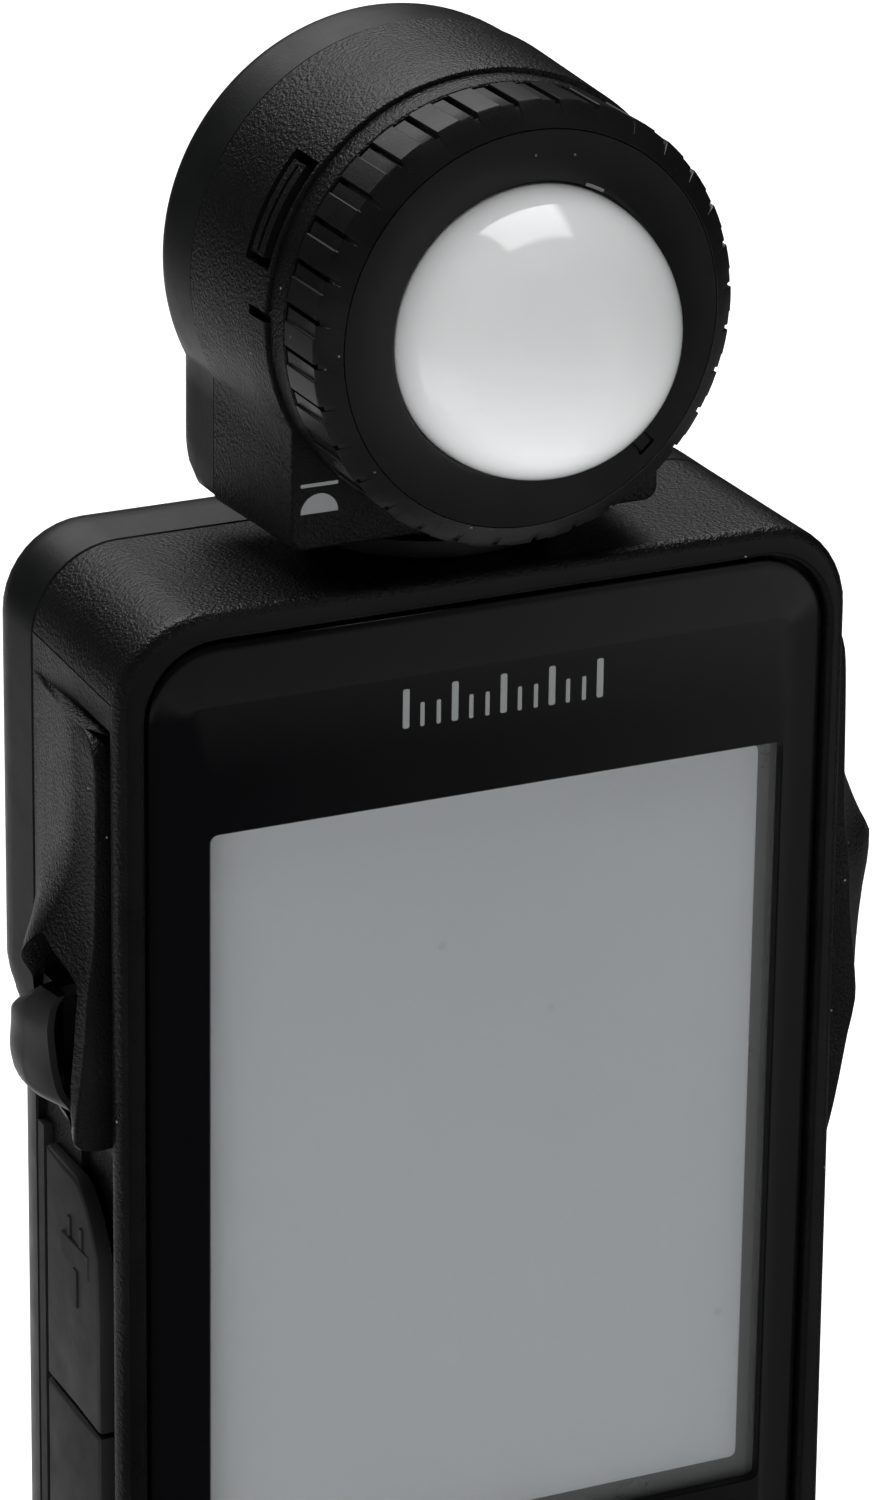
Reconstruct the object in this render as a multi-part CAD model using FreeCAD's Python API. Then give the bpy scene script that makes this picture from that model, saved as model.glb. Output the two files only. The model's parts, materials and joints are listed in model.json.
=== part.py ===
import FreeCAD, Part
import math
import os

# Handheld light meter: touch-screen case, swivel head with a retracting diffuser dome.
# Millimetres. X to the right seen from the front, Y from the front to the back, Z up.
# Shapes are drawn with the case front at y = 0 and moved by SHIFT_Y when they are written,
# so that the origin is under the middle of the bounding box.

# ---- driving dimensions ----
TOTAL_H = 140.0
CASE_TOP = 106.05
CASE_HW = 27.4
CASE_HW_SEAM = 26.8
CASE_R = 6.3
SEAM_Y = 16.0
CASE_BACK = 25.0
SEAM_GAP = 0.08
WALL = 2.0
GRIP_SPLIT_Z = 75.0
REAR_R_UPPER = 4.6
REAR_R_GRIP = 8.9

WINDOW_HW = 24.95
WINDOW_Z0 = 4.05
WINDOW_Z1 = 103.65
WINDOW_R = 4.9
GROOVE = 0.5
LCD_HW = 20.575
LCD_X = 0.25
LCD_Z0 = 35.0
LCD_Z1 = 89.86
OPEN_X0 = -20.75
OPEN_X1 = 21.95
OPEN_Z0 = 33.6
OPEN_Z1 = 90.35

PANEL_X = 26.0
PANEL_TOP = 100.3
PORT_TOP = 64.4
PORT_SPLIT = 45.6
PORT_BOTTOM = 33.0

HEAD_Z = 124.04
HEAD_R = TOTAL_H - HEAD_Z
HEAD_FRONT = 3.65
HEAD_SEAM_Y = 14.35
HEAD_BACK = 21.0
HEAD_BASE_Z = 108.05
HEAD_BASE_HW = 14.0
SWIVEL_Y = 11.84
SPIGOT_R = 5.95
SEAT_BORE_R = 6.0

RING_R = 15.0
RING_BACK = 1.1
RING_FACE_Y = -4.62
RING_FACE_R = 13.42
RING_PADS = 32
DOME_R = 9.65
DOME_Y = -4.0
DOME_HOLE_R = 9.82
SHELL_BORE_R = 13.3
CAM_R = 13.22
CAM_BORE_R = 12.12
GUIDE_R = 12.05
GUIDE_BORE_R = 11.2
PIN_R = 0.95
PIN_REACH = 13.05
DOME_TRAVEL = 8.0
RING_TRAVEL_DEG = 80.0

BATTERY_R = 7.1
BATTERY_L = 49.2
BATTERY_X = 7.5
BATTERY_Y = 15.4
BAY_Z0 = 11.6
BAY_Z1 = 65.4
COVER_HW = 16.5
COVER_Z1 = 68.0

STRAP_Y = CASE_BACK - 3.6
STRAP_Z = 3.4

HINGE_X = -26.55
HINGE_Y = 14.3
HINGE_R = 0.42
BASE_TRIM = 0.05

SHIFT_Y = -(CASE_BACK + DOME_Y - DOME_R) / 2.0
V = FreeCAD.Vector


# ---- small helpers ------------------------------------------------------------------
def box(x0, x1, y0, y1, z0, z1):
    return Part.makeBox(x1 - x0, y1 - y0, z1 - z0, V(x0, y0, z0))


def rod_y(x, z, r, y0, y1):
    return Part.makeCylinder(r, y1 - y0, V(x, y0, z), V(0, 1, 0))


def rod_z(x, y, r, z0, z1):
    return Part.makeCylinder(r, z1 - z0, V(x, y, z0), V(0, 0, 1))


def rod_x(y, z, r, x0, x1):
    return Part.makeCylinder(r, x1 - x0, V(x0, y, z), V(1, 0, 0))


def tube_y(x, z, r_out, r_in, y0, y1):
    return rod_y(x, z, r_out, y0, y1).cut(rod_y(x, z, r_in, y0 - 1, y1 + 1))


def join(shapes):
    first = shapes[0]
    return first.multiFuse(shapes[1:]).removeSplitter() if len(shapes) > 1 else first


def rect_wire(x0, x1, z0, z1, r, y):
    k = r * (1 - math.sqrt(0.5))
    pts = {
        "a": V(x0 + r, y, z0), "b": V(x1 - r, y, z0), "c": V(x1, y, z0 + r), "d": V(x1, y, z1 - r),
        "e": V(x1 - r, y, z1), "f": V(x0 + r, y, z1), "g": V(x0, y, z1 - r), "h": V(x0, y, z0 + r),
    }
    mids = {
        "bc": V(x1 - k, y, z0 + k), "de": V(x1 - k, y, z1 - k),
        "fg": V(x0 + k, y, z1 - k), "ha": V(x0 + k, y, z0 + k),
    }
    edges = [
        Part.makeLine(pts["a"], pts["b"]),
        Part.Arc(pts["b"], mids["bc"], pts["c"]).toShape(),
        Part.makeLine(pts["c"], pts["d"]),
        Part.Arc(pts["d"], mids["de"], pts["e"]).toShape(),
        Part.makeLine(pts["e"], pts["f"]),
        Part.Arc(pts["f"], mids["fg"], pts["g"]).toShape(),
        Part.makeLine(pts["g"], pts["h"]),
        Part.Arc(pts["h"], mids["ha"], pts["a"]).toShape(),
    ]
    return Part.Wire(edges)


def plate(x0, x1, z0, z1, r, y0, y1):
    return Part.Face(rect_wire(x0, x1, z0, z1, r, y0)).extrude(V(0, y1 - y0, 0))


def mirrored(shape):
    return shape.mirror(V(0, 0, 0), V(1, 0, 0))


def write(shape, node):
    moved = shape.copy()
    moved.translate(V(0, SHIFT_Y, 0))
    moved.exportStep(os.path.join("parts", node + ".step"))


# ---- case ---------------------------------------------------------------------------
def front_volume(inset, y0, y1):
    def wire(y):
        t = y / SEAM_Y
        hw = CASE_HW + (CASE_HW_SEAM - CASE_HW) * t - inset
        top = CASE_TOP - 0.2 * t - inset
        return rect_wire(-hw, hw, inset - BASE_TRIM, top, CASE_R - min(inset, 3.0), y)
    return Part.makeLoft([wire(y0), wire(y1)], True, True)


def rear_volume(inset, radius, y0, y1, depth):
    wires = []
    steps = 9
    for i in range(steps + 1):
        y = y0 + (y1 - y0) * math.sin(math.pi / 2 * i / steps)
        over = max(0.0, y - (depth - radius))
        roll = radius - math.sqrt(max(radius * radius - over * over, 0.0))
        roll = min(roll, radius * 0.82)
        hw = CASE_HW_SEAM - inset - roll
        roll_end = min(roll, 4.0)
        top = CASE_TOP - 0.2 - inset - roll_end
        wires.append(rect_wire(-hw, hw, inset + roll_end, top, CASE_R - 0.4 * min(inset, 3.0), y))
    return Part.makeLoft(wires, True, True)


def rear_body(inset, y0, y1, depth):
    upper = rear_volume(inset, REAR_R_UPPER, y0, y1, depth)
    grip = rear_volume(inset, REAR_R_GRIP, y0, y1, depth)
    upper = upper.common(box(-40, 40, 0, 40, GRIP_SPLIT_Z, 120))
    grip = grip.common(box(-40, 40, 0, 40, -1, GRIP_SPLIT_Z))
    return join([upper, grip])


SHELL_BOSSES = [(-21.5, 97.0), (21.5, 97.0), (-21.5, 8.5), (21.5, 8.5)]
BOARD_BOSSES = [(-14.0, 97.2), (14.0, 97.2), (-14.0, 9.0), (14.0, 9.0)]
SWITCH_Z = 73.4
WELL_Y0 = 3.15
WELL_Y1 = 13.6
WELL_Z0 = 68.4
WELL_Z1 = 80.2
KEYS = [(-11.0, 17.5), (11.0, 17.5)]


def seat_bore(r):
    return rod_z(0, SWIVEL_Y, r, 99.0, 110.0)


def front_shell():
    outer = front_volume(0.0, 0.0, SEAM_Y)
    rim = [e for e in outer.Edges if e.BoundBox.YMax < 0.01]
    outer = outer.makeFillet(0.7, rim).common(box(-40, 40, -1, SEAM_Y, 0, CASE_TOP + 1))
    shell = outer.cut(front_volume(WALL, 2.6, SEAM_Y + 1))
    g = GROOVE
    pocket = plate(-WINDOW_HW - g, WINDOW_HW + g, WINDOW_Z0 - g, WINDOW_Z1 + g, WINDOW_R + g, -1, 1.4)
    shell = shell.cut(pocket)
    shell = shell.cut(plate(-23.4, 23.4, 30.6, 93.2, 1.5, -1, 4))
    for x, z in KEYS:
        shell = shell.cut(plate(x - 6.0, x + 6.0, z - 3.2, z + 3.2, 3.0, -1, 4))
    bosses = [rod_y(x, z, 2.6, 2.0, SEAM_Y - 0.2) for x, z in SHELL_BOSSES]
    bosses += [rod_y(x, z, 1.9, 2.0, 5.1) for x, z in BOARD_BOSSES]
    shell = join([shell] + bosses)
    for x, z in SHELL_BOSSES:
        shell = shell.cut(rod_y(x, z, 1.15, 5.0, SEAM_Y + 1))
    for x, z in BOARD_BOSSES:
        shell = shell.cut(rod_y(x, z, 0.85, 2.6, 6.0))
    y0 = 1.6
    left = box(-30, -PANEL_X, y0, SEAM_Y + 1, PORT_BOTTOM - 0.1, PANEL_TOP)
    right = box(PANEL_X, 30, y0, SEAM_Y + 1, 54.0, PANEL_TOP)
    shell = shell.cut(left).cut(right)
    for side in (-1, 1):
        x0, x1 = sorted((side * 24.0, side * 30.0))
        shell = shell.cut(box(x0, x1, 8.6, 13.2, SWITCH_Z - 4.0, SWITCH_Z + 4.0))
    shell = shell.cut(box(-30, -24.0, 4.2, 13.4, 49.9, 60.3))
    shell = shell.cut(rod_x(8.8, 40.0, 4.6, -30, -24.0))
    shell = shell.cut(seat_bore(8.3))
    shell = shell.cut(rod_z(0, 10.5, 4.7, -1, 4))
    shell = shell.cut(rod_z(0, 10.5, 5.6, 1.2, 4))
    return shell


def rear_shell():
    y0 = SEAM_Y + SEAM_GAP
    shell = rear_body(0.0, y0, CASE_BACK, CASE_BACK)
    shell = shell.cut(rear_body(WALL, y0 - 1, CASE_BACK - WALL, CASE_BACK - WALL))
    bosses = [rod_y(x, z, 2.6, y0 + 0.1, CASE_BACK - 3.0) for x, z in SHELL_BOSSES[:2]]
    bosses += [rod_y(x, z, 2.6, y0 + 0.1, CASE_BACK - 5.2) for x, z in SHELL_BOSSES[2:]]
    inside = rear_body(0.3, y0, CASE_BACK - 0.3, CASE_BACK - 0.3)
    block = box(17.4, 24.6, y0 + 0.4, CASE_BACK - 1.0, 1.0, 7.0).common(inside)
    shell = join([shell, block] + bosses)
    for x, z in SHELL_BOSSES:
        shell = shell.cut(rod_y(x, z, 1.35, y0 - 1, CASE_BACK + 1))
        shell = shell.cut(rod_y(x, z, 2.3, CASE_BACK - 6.6, CASE_BACK + 1))
    hw = COVER_HW + 0.15
    shell = shell.cut(box(-hw, hw, CASE_BACK - 1.6, CASE_BACK + 1, -1, COVER_Z1 + 0.15))
    shell = shell.cut(box(-hw - 0.8, hw + 0.8, CASE_BACK - 1.6, CASE_BACK - 0.75, -1, COVER_Z1 + 0.15))
    shell = shell.cut(box(-15.6, 15.6, 10, CASE_BACK + 1, BAY_Z0 - 1.0, BAY_Z1 + 1.0))
    shell = shell.cut(seat_bore(8.3))
    shell = shell.cut(box(19.2, 22.8, CASE_BACK - 5.4, CASE_BACK + 2, -1, 5.2))
    shell = shell.cut(rod_x(STRAP_Y, STRAP_Z, 0.73, 18.0, 24.0))
    return shell


def display_bezel():
    body = plate(-WINDOW_HW, WINDOW_HW, WINDOW_Z0, WINDOW_Z1, WINDOW_R, -0.05, 0.75)
    rim = [e for e in body.Edges if e.BoundBox.YMax < -0.04]
    body = body.makeFillet(0.4, rim)
    body = body.cut(plate(OPEN_X0, OPEN_X1, OPEN_Z0, OPEN_Z1, 0.6, -1, 2))
    for x, z in KEYS:
        body = body.cut(plate(x - 5.2, x + 5.2, z - 2.4, z + 2.4, 2.38, -1, 2))
    return body


def touch_panel():
    return plate(-24.0, 24.0, 29.5, 95.0, 1.5, 0.78, 1.28)


def lcd_panel():
    return box(LCD_X - LCD_HW - 0.9, LCD_X + LCD_HW + 0.9, 1.34, 2.3, LCD_Z0 - 2.2, LCD_Z1 + 1.0)


def lcd_backlight():
    body = box(-22.4, 22.4, 1.9, 4.4, LCD_Z0 - 3.2, LCD_Z1 + 2.0)
    return body.cut(box(LCD_X - 21.6, LCD_X + 21.6, 1.0, 2.35, LCD_Z0 - 2.4, LCD_Z1 + 1.2))


def bezel_tape():
    body = plate(-24.3, 24.3, 28.0, 101.0, 2.0, 0.77, 1.36)
    return body.cut(plate(-24.05, 24.05, 29.4, 95.1, 1.5, 0, 2))


def main_board():
    board = box(-23.0, 23.0, 5.2, 6.2, 5.4, 99.4)
    board = board.cut(box(-30, -15.5, 4, 8, 34.0, 61.0))
    for x, z in SHELL_BOSSES:
        board = board.cut(rod_y(x, z, 2.9, 4, 8))
    for x, z in BOARD_BOSSES:
        board = board.cut(rod_y(x, z, 1.1, 4, 8))
    board = board.cut(rod_z(0, 10.5, 5.6, -1, 12))
    board = board.cut(box(-8.4, 8.4, 4.6, 12, 94.6, 101.0))
    return board


def board_chips():
    chips = [
        (-9.0, 82.0, 10.0, 10.0, 1.1), (8.0, 84.0, 7.0, 7.0, 0.9), (13.0, 72.0, 5.0, 8.0, 1.2),
        (-15.0, 72.0, 4.0, 5.0, 1.0), (0.0, 72.5, 6.0, 4.0, 1.3), (17.0, 86.0, 3.2, 2.5, 0.8),
    ]
    parts = []
    for x, z, w, h, t in chips:
        parts.append(box(x - w / 2, x + w / 2, 6.22, 6.22 + t, z - h / 2, z + h / 2))
    return Part.makeCompound(parts)


def buzzer():
    body = rod_y(-18.0, 90.0, 4.0, 6.24, 9.4)
    return body.cut(rod_y(-18.0, 90.0, 0.8, 8.6, 10))


def pan_screw(x, z, y_head, head_r, head_h, shank_r, length):
    # A screw whose axis is Y; its head faces +Y and its shank runs towards -Y.
    head = rod_y(x, z, head_r, y_head - head_h, y_head)
    edge = [e for e in head.Edges if e.BoundBox.YMin > y_head - 0.01]
    head = head.makeFillet(head_h * 0.35, edge)
    body = join([head, rod_y(x, z, shank_r, y_head - head_h - length, y_head - head_h + 0.1)])
    w = head_r * 0.16
    cross = join([
        box(x - w, x + w, y_head - head_h * 0.5, y_head + 1, z - head_r * 0.6, z + head_r * 0.6),
        box(x - head_r * 0.6, x + head_r * 0.6, y_head - head_h * 0.5, y_head + 1, z - w, z + w),
    ])
    return body.cut(cross)


def shell_screws():
    y_head = CASE_BACK - 6.6 + 1.6
    return Part.makeCompound([pan_screw(x, z, y_head, 2.1, 1.5, 1.1, 10.5) for x, z in SHELL_BOSSES])


def board_screws():
    return Part.makeCompound([pan_screw(x, z, 7.15, 1.6, 0.9, 0.8, 3.2) for x, z in BOARD_BOSSES])


# ---- keys on the front --------------------------------------------------------------
def front_key(x, z):
    cap = plate(x - 4.95, x + 4.95, z - 2.15, z + 2.15, 2.13, -0.3, 1.5)
    rim = [e for e in cap.Edges if e.BoundBox.YMax < -0.29]
    cap = cap.makeFillet(0.35, rim)
    skirt = plate(x - 5.7, x + 5.7, z - 2.9, z + 2.9, 2.7, 1.5, 2.3)
    return join([cap, skirt, rod_y(x, z, 1.2, 2.2, 3.9)])


def key_switches():
    parts = []
    for x, z in KEYS:
        parts.append(box(x - 2.0, x + 2.0, 4.5, 5.18, z - 1.6, z + 1.6))
    return Part.makeCompound(parts)


# ---- side panels with their wings ---------------------------------------------------
# Slices of a wing from top to bottom: height, then the crest beside the rim (out, back)
# and the ridge behind it (out, back).
WING = [
    (97.0, 27.2, 11.0, 27.0, 12.0), (95.8, 27.6, 3.6, 27.4, 8.0), (91.0, 27.8, 2.6, 27.6, 8.0),
    (86.0, 27.95, 2.5, 28.3, 7.2), (83.6, 28.0, 2.5, 29.3, 7.0), (82.0, 28.1, 2.5, 30.9, 7.0),
    (80.0, 28.5, 2.5, 32.7, 7.0), (77.0, 29.1, 2.6, 32.3, 7.0), (73.0, 29.6, 2.8, 31.9, 7.2),
    (69.6, 29.8, 3.6, 31.6, 7.6), (67.4, 28.9, 4.6, 30.4, 8.4),
]
WING_TAIL = [(63.0, 28.5, 3.8, 30.9, 7.6), (58.6, 27.9, 4.4, 30.0, 8.0), (56.4, 27.1, 5.2, 27.2, 9.0)]
WING_BACK_Y = 15.8


def wing_section(z, crest_x, crest_y, ridge_x, ridge_y):
    # One slice of the right wing: a curved outside over a straight foot, at height z.
    foot_front = V(26.4, crest_y, z)
    crest = V(crest_x, crest_y, z)
    ridge = V(ridge_x, ridge_y, z)
    shoulder = V(0.35 * 26.8 + 0.65 * ridge_x, 12.4, z)
    rear = V(26.7, WING_BACK_Y, z)
    foot_rear = V(26.4, WING_BACK_Y, z)
    curve = Part.BSplineCurve()
    curve.interpolate([crest, ridge, shoulder, rear])
    return Part.Wire([
        Part.makeLine(foot_front, crest), curve.toShape(),
        Part.makeLine(rear, foot_rear), Part.makeLine(foot_rear, foot_front)])


def wing(sections):
    return Part.makeLoft([wing_section(*row) for row in sections], True, True)


def side_panel(sections, z0):
    side = box(PANEL_X + 0.05, 30, 1.65, SEAM_Y - 0.1, z0, PANEL_TOP - 0.1)
    skin = front_volume(0.02, 0.0, SEAM_Y).common(side)
    skin = skin.cut(box(26.4, 30, 0.0, 2.5, z0 + 3.2, 95.2))
    body = skin.fuse(wing(sections)).removeSplitter()
    well = box(24, 36, WELL_Y0, WELL_Y1, WELL_Z0, WELL_Z1)
    return body.cut(well)


def paddle():
    # The right paddle button: bulged outside, flat sides, a stem towards the switch.
    z0 = WELL_Z0 + 0.35
    z1 = WELL_Z1 - 1.4
    shape = [(0.0, 30.4), (0.10, 31.2), (0.30, 32.2), (0.52, 32.6), (0.75, 32.4), (0.92, 31.6), (1.0, 30.9)]
    wires = []
    for t, x in shape:
        z = z0 + (z1 - z0) * t
        pts = [V(27.0, 5.2, z), V(x - 1.7, 5.2, z), V(x, 8.2, z), V(x - 0.6, 11.2, z), V(27.0, 13.0, z)]
        curve = Part.BSplineCurve()
        curve.interpolate(pts)
        wires.append(Part.Wire([curve.toShape(), Part.makeLine(pts[-1], pts[0])]))
    body = Part.makeLoft(wires, True, True)
    stem = box(24.4, 28.0, 9.0, 12.6, SWITCH_Z - 3.4, SWITCH_Z + 3.4)
    return body.fuse(stem).removeSplitter()


def side_switches():
    base = box(20.6, 23.2, 7.0, 14.0, SWITCH_Z - 3.2, SWITCH_Z + 3.2)
    plunger = rod_x(11.4, SWITCH_Z, 1.5, 23.1, 23.75)
    right = join([base, plunger])
    return Part.makeCompound([right, mirrored(right)])


# ---- ports under rubber covers ------------------------------------------------------
def port_cap(z0, z1, plug):
    skin = front_volume(-0.25, 0.0, SEAM_Y).common(box(-30, -PANEL_X - 0.05, 2.95, HINGE_Y - 0.6, z0, z1))
    web = box(HINGE_X - 0.35, HINGE_X + 0.35, HINGE_Y - 0.7, HINGE_Y, z0, z1)
    bead = rod_z(HINGE_X, HINGE_Y, HINGE_R, z0, z1)
    return join([skin, plug, web, bead])


def usb_cap():
    plug = box(-PANEL_X - 0.3, -24.9, 7.2, 10.6, 52.3, 58.5)
    return port_cap(PORT_SPLIT + 0.1, PORT_TOP - 0.1, plug)


def sync_cap():
    plug = rod_x(8.8, 40.0, 1.45, -PANEL_X - 0.3, -24.8)
    return port_cap(PORT_BOTTOM, PORT_SPLIT - 0.1, plug)


def cap_strip():
    # The rubber strip the two port covers hang from; it is clamped at the seam.
    return front_volume(0.02, 0.0, SEAM_Y).common(
        box(-30, -PANEL_X - 0.05, HINGE_Y + HINGE_R + 0.04, SEAM_Y - 0.1, PORT_BOTTOM, PORT_TOP - 0.1))


def usb_connector():
    outer = box(-25.6, -17.0, 6.4, 11.4, 51.0, 59.8)
    outer = outer.cut(box(-30, -18.0, 6.8, 11.0, 51.9, 58.9))
    tongue = box(-23.6, -17.5, 8.5, 9.3, 53.0, 57.8)
    return join([outer, tongue])


def sync_terminal():
    barrel = rod_x(8.8, 40.0, 3.6, -25.4, -18.0).cut(rod_x(8.8, 40.0, 1.75, -30, -19.4))
    flange = rod_x(8.8, 40.0, 4.4, -24.9, -23.9).cut(rod_x(8.8, 40.0, 1.75, -30, -19.4))
    return join([barrel, flange])


# ---- battery bay --------------------------------------------------------------------
def battery_tray():
    outer = box(-15.4, 15.4, 7.6, CASE_BACK - 2.0, BAY_Z0 - 0.8, BAY_Z1 + 0.8)
    inner = box(-14.8, 14.8, 8.2, CASE_BACK + 1, BAY_Z0, BAY_Z1)
    return outer.cut(inner).fuse(box(-0.2, 0.2, 8.1, 10.1, BAY_Z0, BAY_Z1)).removeSplitter()


def battery(x, up):
    z0 = BAY_Z0 + 2.3
    body = rod_z(x, BATTERY_Y, BATTERY_R, z0, z0 + BATTERY_L)
    if up > 0:
        return join([body, rod_z(x, BATTERY_Y, 2.7, z0 + BATTERY_L - 0.1, z0 + BATTERY_L + 1.0)])
    return join([body, rod_z(x, BATTERY_Y, 2.7, z0 - 1.0, z0 + 0.1)])


def contact_plates():
    z_top = BAY_Z1 - 0.35
    parts = [
        box(BATTERY_X - 5.0, BATTERY_X + 5.0, 10.2, 20.5, z_top, BAY_Z1),
        box(-BATTERY_X - 5.0, -BATTERY_X + 5.0, 10.2, 20.5, z_top, BAY_Z1),
        box(-BATTERY_X - 5.0, BATTERY_X + 5.0, 10.2, 20.5, BAY_Z0, BAY_Z0 + 0.35),
    ]
    return Part.makeCompound(parts)


def coil(x, z0, z1):
    cone_out = Part.makeCone(3.4, 2.2, z1 - z0, V(x, BATTERY_Y, z0), V(0, 0, 1))
    cone_in = Part.makeCone(2.9, 1.7, z1 - z0, V(x, BATTERY_Y, z0), V(0, 0, 1))
    return cone_out.cut(cone_in)


def contact_springs():
    lower = coil(BATTERY_X, BAY_Z0 + 0.4, BAY_Z0 + 2.25)
    z_cell = BAY_Z0 + 2.3 + BATTERY_L
    upper_out = Part.makeCone(2.2, 3.4, 1.8, V(-BATTERY_X, BATTERY_Y, z_cell + 0.05), V(0, 0, 1))
    upper_in = Part.makeCone(1.7, 2.9, 1.8, V(-BATTERY_X, BATTERY_Y, z_cell + 0.05), V(0, 0, 1))
    return Part.makeCompound([lower, upper_out.cut(upper_in)])


def battery_cover():
    y1 = CASE_BACK
    body = box(-COVER_HW, COVER_HW, y1 - 1.45, y1, 0.0, COVER_Z1)
    edges = [e for e in body.Edges if e.BoundBox.YMin > y1 - 0.01 and e.BoundBox.ZMax > 1.0]
    body = body.makeFillet(0.35, edges)
    body = body.cut(box(-40, 40, y1 - 3, y1 + 1, -1, 4.0).cut(rear_body(0.0, SEAM_Y, y1, y1)))
    tongues = box(-COVER_HW - 0.8, COVER_HW + 0.8, y1 - 1.45, y1 - 0.9, 5.0, COVER_Z1 - 0.4)
    body = join([body, tongues])
    for i in range(5):
        z = 56.0 + 1.8 * i
        body = body.cut(box(-6.0, 6.0, y1 - 0.35, y1 + 1, z, z + 0.8))
    return body


# ---- tripod bush and strap bar ------------------------------------------------------
def tripod_bush():
    body = join([rod_z(0, 10.5, 4.6, 0.0, 8.6), rod_z(0, 10.5, 5.5, 2.1, 3.6)])
    return body.cut(rod_z(0, 10.5, 3.175, -1, 7.6))


def strap_bar():
    return rod_x(STRAP_Y, STRAP_Z, 0.7, 18.2, 23.8)


# ---- swivel -------------------------------------------------------------------------
def swivel_seat():
    flange = rod_z(0, SWIVEL_Y, 8.7, CASE_TOP + 0.05, CASE_TOP + 1.2)
    hub = rod_z(0, SWIVEL_Y, 8.2, 101.0, CASE_TOP + 0.1)
    return join([flange, hub]).cut(rod_z(0, SWIVEL_Y, SEAT_BORE_R, 90, 115))


def neck_spigot():
    tube = rod_z(0, SWIVEL_Y, SPIGOT_R, 98.6, 110.7)
    flange = rod_z(0, SWIVEL_Y, 6.4, HEAD_BASE_Z + 2.05, 110.7)
    shoulder = rod_z(0, SWIVEL_Y, 7.6, CASE_TOP + 1.3, HEAD_BASE_Z - 0.05)
    body = join([tube, flange, shoulder])
    body = body.cut(rod_z(0, SWIVEL_Y, 4.2, 90, 115))
    groove = rod_z(0, SWIVEL_Y, 9.0, 99.6, 100.5).cut(rod_z(0, SWIVEL_Y, 5.2, 99, 101))
    return body.cut(groove)


def swivel_clip():
    ring = rod_z(0, SWIVEL_Y, 7.4, 99.7, 100.4).cut(rod_z(0, SWIVEL_Y, 5.3, 99, 101))
    return ring.cut(box(-1.6, 1.6, SWIVEL_Y, SWIVEL_Y + 9, 99, 101))


def wave_washer():
    return rod_z(0, SWIVEL_Y, 7.8, 100.45, 100.92).cut(rod_z(0, SWIVEL_Y, 6.1, 99, 102))


# ---- head ---------------------------------------------------------------------------
def head_slot(side):
    # Accessory slot across the side of the drum, from 15 to 42 degrees above level.
    cut = tube_y(0, HEAD_Z, HEAD_R + 1, HEAD_R - 1.3, HEAD_FRONT + 0.3, HEAD_FRONT + 3.75)
    rays = [V(side * 30 * math.cos(math.radians(deg)), 0, HEAD_Z + 30 * math.sin(math.radians(deg)))
            for deg in (15, 42)]
    apex = V(0, 0, HEAD_Z)
    wedge = Part.Face(Part.makePolygon([apex] + rays + [apex])).extrude(V(0, 30, 0))
    rail = tube_y(0, HEAD_Z, HEAD_R - 0.25, HEAD_R - 1.4, HEAD_FRONT + 0.9, HEAD_FRONT + 3.1)
    return cut.cut(rail).common(wedge)


HEAD_SCREWS = [(-11.2, 112.6), (11.2, 112.6)]


def head_front_shell():
    drum = rod_y(0, HEAD_Z, HEAD_R, HEAD_FRONT, HEAD_SEAM_Y)
    hw = HEAD_BASE_HW
    base = box(-hw, hw, HEAD_FRONT, HEAD_SEAM_Y, HEAD_BASE_Z, HEAD_Z)
    upright = [e for e in base.Edges
               if abs(e.BoundBox.YMax - HEAD_FRONT) < 0.01 and e.BoundBox.ZMax < HEAD_Z - 1]
    base = base.makeFillet(0.8, upright)
    collar = rod_y(0, HEAD_Z, RING_R + 0.25, RING_BACK + 0.15, HEAD_FRONT + 0.1)
    body = join([drum, base, collar])
    body = body.cut(rod_y(0, HEAD_Z, SHELL_BORE_R, -5, HEAD_SEAM_Y + 1))
    cavity = box(-hw + 1.8, hw - 1.8, HEAD_FRONT + 1.7, HEAD_SEAM_Y + 1, HEAD_BASE_Z + 2.0, 113.0)
    body = body.cut(cavity)
    body = body.cut(rod_z(0, SWIVEL_Y, SPIGOT_R + 0.12, 100, HEAD_BASE_Z + 3))
    for x, z in HEAD_SCREWS:
        body = body.fuse(rod_y(x, z, 2.0, 7.0, HEAD_SEAM_Y)).cut(rod_y(x, z, 0.9, 8.0, HEAD_SEAM_Y + 1))
    for side in (-1, 1):
        body = body.cut(head_slot(side))
    body = body.cut(box(-20, -HEAD_R + 0.5, HEAD_FRONT - 1, 6.0, HEAD_Z - 0.7, HEAD_Z + 0.05))
    return body.removeSplitter()


def head_rear_cover():
    y0 = HEAD_SEAM_Y + SEAM_GAP
    y1 = HEAD_BACK
    drum = rod_y(0, HEAD_Z, HEAD_R - 0.12, y0, y1)
    edge = [e for e in drum.Edges if e.BoundBox.YMin > y1 - 0.01]
    drum = drum.makeFillet(3.3, edge)
    hw = HEAD_BASE_HW - 0.1
    back = y1 - 1.4
    base = box(-hw, hw, y0, back, HEAD_BASE_Z, HEAD_Z)
    low_z = HEAD_BASE_Z - 0.01
    corner = [V(-20, back - 1.4, low_z), V(-20, back + 1, low_z), V(-20, back + 1, HEAD_BASE_Z + 4.3)]
    chamfer = Part.Face(Part.makePolygon(corner + corner[:1])).extrude(V(40, 0, 0))
    base = base.cut(chamfer)
    body = join([drum, base])
    hollow = rod_y(0, HEAD_Z, SHELL_BORE_R, y0 - 1, y1 - 3.2)
    cavity = box(-hw + 1.8, hw - 1.8, y0 - 1, y0 + 3.9, HEAD_BASE_Z + 2.0, 113.0)
    body = body.cut(hollow).cut(cavity).cut(rod_z(0, SWIVEL_Y, SPIGOT_R + 0.12, 100, HEAD_BASE_Z + 3))
    for x, z in HEAD_SCREWS:
        body = body.cut(rod_y(x, z, 1.0, y0 - 1, y1 + 1)).cut(rod_y(x, z, 1.85, y0 + 1.4, y1 + 1))
    return body


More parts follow.
